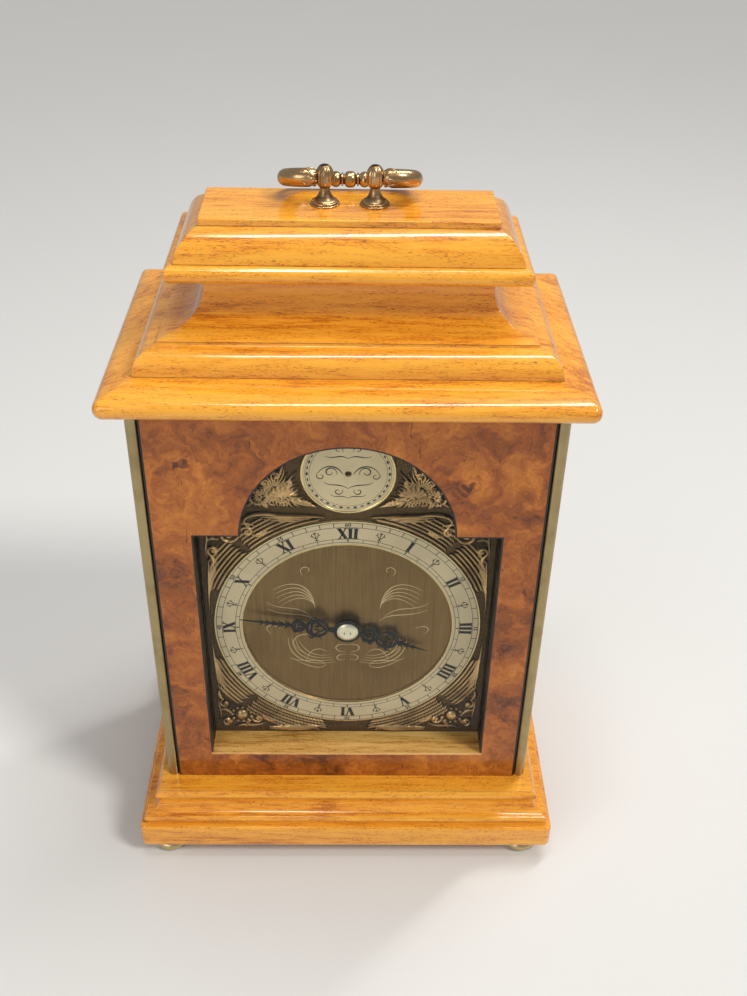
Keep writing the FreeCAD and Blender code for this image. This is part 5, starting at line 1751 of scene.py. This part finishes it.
        def place(x: float, z: float, rise: float) -> Vector:
            """Turn clockwise, then lift in front of the dial."""
            return Vector((x * math.cos(angle) + z * math.sin(angle), rear - rise,
                           self.centre - x * math.sin(angle) + z * math.cos(angle)))

        return place

    def serpentine(self, piece: Piece, place: Place, hub: float, bore: float, loops: Sequence[Pair],
                   beads: Sequence[Pair], tip: float) -> None:
        """Pierced serpentine hand.

        Args:
            piece: Piece to add to.
            place: Placing of the hand.
            hub: Radius of the hub.
            bore: Radius of the hole in it.
            loops: Height and radius of each open loop.
            beads: Height and radius of each bead on the stem.
            tip: Reach of the point.
        """
        thick, middle = 0.24, 0.25
        ring = [(hub * math.cos(math.tau * i / 40), hub * math.sin(math.tau * i / 40)) for i in range(40)]
        hole = [(x * bore / hub, z * bore / hub) for x, z in ring]
        rings = [[place(x, z, rise) for x, z in edge] for edge, rise in
                 ((hole, 0.0), (ring, 0.0), (ring, 0.4), (hole, 0.5), (hole, 0.0))]
        piece.tube(rings, caps=False)

        def bar(path: Sequence[Pair], *widths: float) -> None:
            """One strand of the hand's tracery, at half its thickness."""
            piece.strand(path, place, widths, thick, middle, seat=-1.0)

        for z, r in loops:
            for side in (1, -1):
                outer = [(side * x, zz) for x, zz in spiral((0.0, z), r, r * 0.86, -90.0, 0.52)]
                bar(outer, 0.55, 0.85, 0.55)
                inner = [(side * x, zz) for x, zz in spiral((r * 0.38, z + r * 0.05), r * 0.48, r * 0.18,
                                                            130.0, -0.95, 18)]
                bar(inner, 0.48, 0.55, 0.35)
                bar([(0.0, z - r * 0.85), (side * r * 0.42, z - r * 0.25)], 0.5, 0.4)
                bar([(side * r * 0.92, z), (side * r * 1.24, z + r * 0.30), (side * r * 1.10, z + r * 0.66)],
                    0.5, 0.6, 0.15)
                bar([(side * r * 0.9, z - r * 0.3), (side * r * 1.24, z - r * 0.6)], 0.5, 0.15)
        for (low, r1), (high, r2) in zip(loops, loops[1:]):
            bar([(0.0, low + r1 * 0.82), (0.0, high - r2 * 0.82)], 0.9, 1.1, 0.8)
        first = loops[0]
        bar([(0.0, hub - 0.4), (0.0, first[0] - first[1] * 0.85)], 1.5, 1.0)
        last = loops[-1]
        bar([(0.0, last[0] + last[1] * 0.8), (0.0, beads[-1][0]), (0.0, tip)], 0.95, 0.55, 0.14)
        for z, r in beads:
            bar([(0.0, z - r * 0.95), (0.0, z), (0.0, z + r * 0.95)], 0.35, r, 0.35)
            for side in (1, -1):
                bar([(0.0, z), (side * r * 1.45, z + r * 0.85)], 0.42, 0.14)

    def minute_hand(self) -> None:
        """Long hand at about a quarter to."""
        piece = Piece("minute_hand_pierced")
        self.serpentine(piece, self.hand_place(278.0, -27.4), 5.4, 1.9, ((11.9, 4.2), (19.0, 2.5)),
                        ((22.9, 1.6), (25.6, 1.45), (28.1, 1.3), (30.5, 1.1), (32.7, 0.9)), 41.4)
        piece.make(HAND_BLACK, "minute_arbor", ["minute_hand"], sharp=50.0)

    def hour_hand(self) -> None:
        """Short hand with a fuller head."""
        piece = Piece("hour_hand_pierced")
        self.serpentine(piece, self.hand_place(109.4, -26.1), 5.0, 2.9, ((9.4, 3.3), (16.4, 4.2)),
                        ((21.8, 1.7), (24.4, 1.35), (26.7, 1.0)), 32.9)
        piece.make(HAND_BLACK, "hour_pipe", ["hour_hand"], sharp=50.0)

    def nut(self) -> None:
        """Domed collet with two key holes."""
        piece = Piece("hand_nut_domed")
        profile = outline([(0.0, 0.0), (4.05, 0.0), (4.05, 0.3), ((3.5, 0.68), (1.4, 0.88)), (0.0, 0.9)])
        piece.turned(profile, (0.0, -27.9, self.centre), (0, -1, 0), 48)
        piece.make(NUT_BRASS, "minute_arbor", ["hand_nut"])
        holes = Piece("hand_nut_key_holes")
        for side in (-1, 1):
            turns = (math.tau * i / 14 for i in range(14))
            rim = [(side * 1.15 + 0.4 * math.cos(a), 0.55 * math.sin(a)) for a in turns]
            holes.plate([(x, self.centre + z) for x, z in rim], on_dial(-28.7), -0.3, 0.085)
        holes.make(INK, "minute_arbor")


# ---------------------------------------------------------------- movement
@dataclass
class Movement:
    """Finishes of the movement seen through the rear door."""

    brass: tuple[str, ...] = ("front_plate", "back_plate", "plate_pillars", "mainspring_barrel",
                              "intermediate_wheel", "centre_wheel", "third_wheel", "fourth_wheel",
                              "escape_wheel", "balance_wheel", "balance_bridge", "minute_wheel", "hour_wheel")
    steel: tuple[str, ...] = ("winding_arbor", "ratchet_wheel", "click", "pallet_lever", "hairspring",
                              "centre_arbor", "cannon_pinion")

    def build(self) -> None:
        """Dress the movement and knurl the setting knob."""
        for node in self.brass:
            dress(node, MOVEMENT_BRASS)
        for node in self.steel:
            dress(node, STEEL)
        piece = Piece("setting_knob_knurled")
        profile = outline([(0.0, 0.0), (2.4, 0.0), (2.4, 1.4), (4.6, 1.4), (4.95, 1.8),
                           ((5.15, 3.2), (4.95, 4.6)), (4.6, 5.0), (2.0, 5.4), (0.0, 5.4)], 4)
        piece.turned(profile, (0.0, 18.6, 103.3), (0, 1, 0), 120, flutes=30, flute_depth=0.05)
        piece.make(MOVEMENT_BRASS, "minute_arbor", ["setting_knob"])


# ---------------------------------------------------------------- studio
@dataclass
class Studio:
    """Floor, lamps and camera."""

    eye: tuple[float, float, float] = (1.50, -351.76, 395.64)
    pitch: float = -35.298
    yaw: float = 1.308
    roll: float = 1.183
    lens: float = 40.88

    def build(self) -> None:
        """Make the studio."""
        scene = bpy.context.scene
        scene.view_settings.view_transform = "Standard"
        self.floor()
        self.world()
        self.sun((0.75, -0.50, 0.95), 1.50, 14.0, (1.0, 0.97, 0.92))
        self.lamp("strip", (190.0, 120.0, 900.0), (30.0, -20.0, 180.0), (55.0, 900.0), 4.6, (1.0, 0.98, 0.95))
        self.lamp("fill", (-420.0, -620.0, 420.0), (0.0, 0.0, 120.0), (420.0, 420.0), 1.3, (1.0, 0.99, 0.97))
        self.camera()

    def floor(self) -> None:
        """Large pale floor, a hand's breadth of mesh cells."""
        size, cells = 4.0, 8
        points = [(size * (i / cells - 0.5), size * (j / cells - 0.5), 0.0)
                  for j in range(cells + 1) for i in range(cells + 1)]
        row = cells + 1
        faces = [(j * row + i, j * row + i + 1, (j + 1) * row + i + 1, (j + 1) * row + i)
                 for j in range(cells) for i in range(cells)]
        mesh = bpy.data.meshes.new("floor")
        mesh.from_pydata(points, [], faces)
        mesh.materials.append(StudioFloor("pale_floor", (0.74, 0.74, 0.73)).material())
        floor = bpy.data.objects.new("floor", mesh)
        bpy.context.scene.collection.objects.link(floor)
        floor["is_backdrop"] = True

    def world(self) -> None:
        """Even pale surroundings."""
        world = bpy.data.worlds.new("studio")
        world.use_nodes = True
        background = world.node_tree.nodes["Background"]
        background.inputs["Color"].default_value = (0.80, 0.80, 0.79, 1.0)
        background.inputs["Strength"].default_value = 0.42
        bpy.context.scene.world = world

    def lamp(self, name: str, where: Sequence[float], aim: Sequence[float], size: Pair, power: float,
             colour: Colour) -> None:
        """Soft oblong lamp.

        Args:
            name: Its name.
            where: Its place in millimetres.
            aim: Point that it faces.
            size: Width and length of the panel in millimetres.
            power: Watts.
            colour: Its colour.
        """
        data = bpy.data.lights.new(name, "AREA")
        data.shape, data.energy, data.color = "RECTANGLE", power, colour
        data.size, data.size_y = size[0] * MM, size[1] * MM
        self.hang(name, data, placed(where), Vector(where) - Vector(aim))

    def sun(self, towards: Sequence[float], strength: float, spread: float, colour: Colour) -> None:
        """Broad far light.

        Args:
            towards: Direction from the clock to the light.
            strength: Watts on each square metre.
            spread: Angle of its disc in degrees.
            colour: Its colour.
        """
        data = bpy.data.lights.new("key", "SUN")
        data.energy, data.angle, data.color = strength, math.radians(spread), colour
        self.hang("key", data, Vector(towards), Vector(towards))

    @staticmethod
    def hang(name: str, data: bpy.types.Light, where: Vector, back: Vector) -> None:
        """Place a light so that its rear points along back.

        Args:
            name: Its name.
            data: The light.
            where: Its place in metres.
            back: Direction behind it.
        """
        made = bpy.data.objects.new(name, data)
        made.location = where
        made.rotation_mode = "QUATERNION"
        made.rotation_quaternion = back.to_track_quat("Z", "Y")
        bpy.context.scene.collection.objects.link(made)

    def camera(self) -> None:
        """Camera at the photograph's angle."""
        pitch, yaw, roll = (math.radians(a) for a in (self.pitch, self.yaw, self.roll))
        ahead = Vector((math.sin(yaw) * math.cos(pitch), math.cos(yaw) * math.cos(pitch), math.sin(pitch)))
        right = Vector((math.cos(yaw), -math.sin(yaw), 0.0))
        up = right.cross(ahead)
        across = right * math.cos(roll) + up * math.sin(roll)
        above = up * math.cos(roll) - right * math.sin(roll)
        data = bpy.data.cameras.new("camera")
        data.lens, data.sensor_width = self.lens, 36.0
        data.clip_start, data.clip_end = 0.01, 20.0
        made = bpy.data.objects.new("camera", data)
        turn = Matrix((across, above, -ahead)).transposed().to_4x4()
        made.matrix_world = Matrix.Translation(placed(self.eye)) @ turn
        bpy.context.scene.collection.objects.link(made)
        bpy.context.scene.camera = made


def write_sizes() -> None:
    """Work out the frame's box and the finished model's box; the result is not kept."""
    boxes = {"cad": CAD_BOX, "visual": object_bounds()}
    {name: [list(corner) for corner in box] for name, box in boxes.items()}


def main() -> None:
    """Build the studio and the clock."""
    for part in (Studio(), Case(), Handle(), Dial(), Movement()):
        LOG.info("building %s", type(part).__name__)
        part.build()
    write_sizes()


if __name__ == "__main__":
    main()
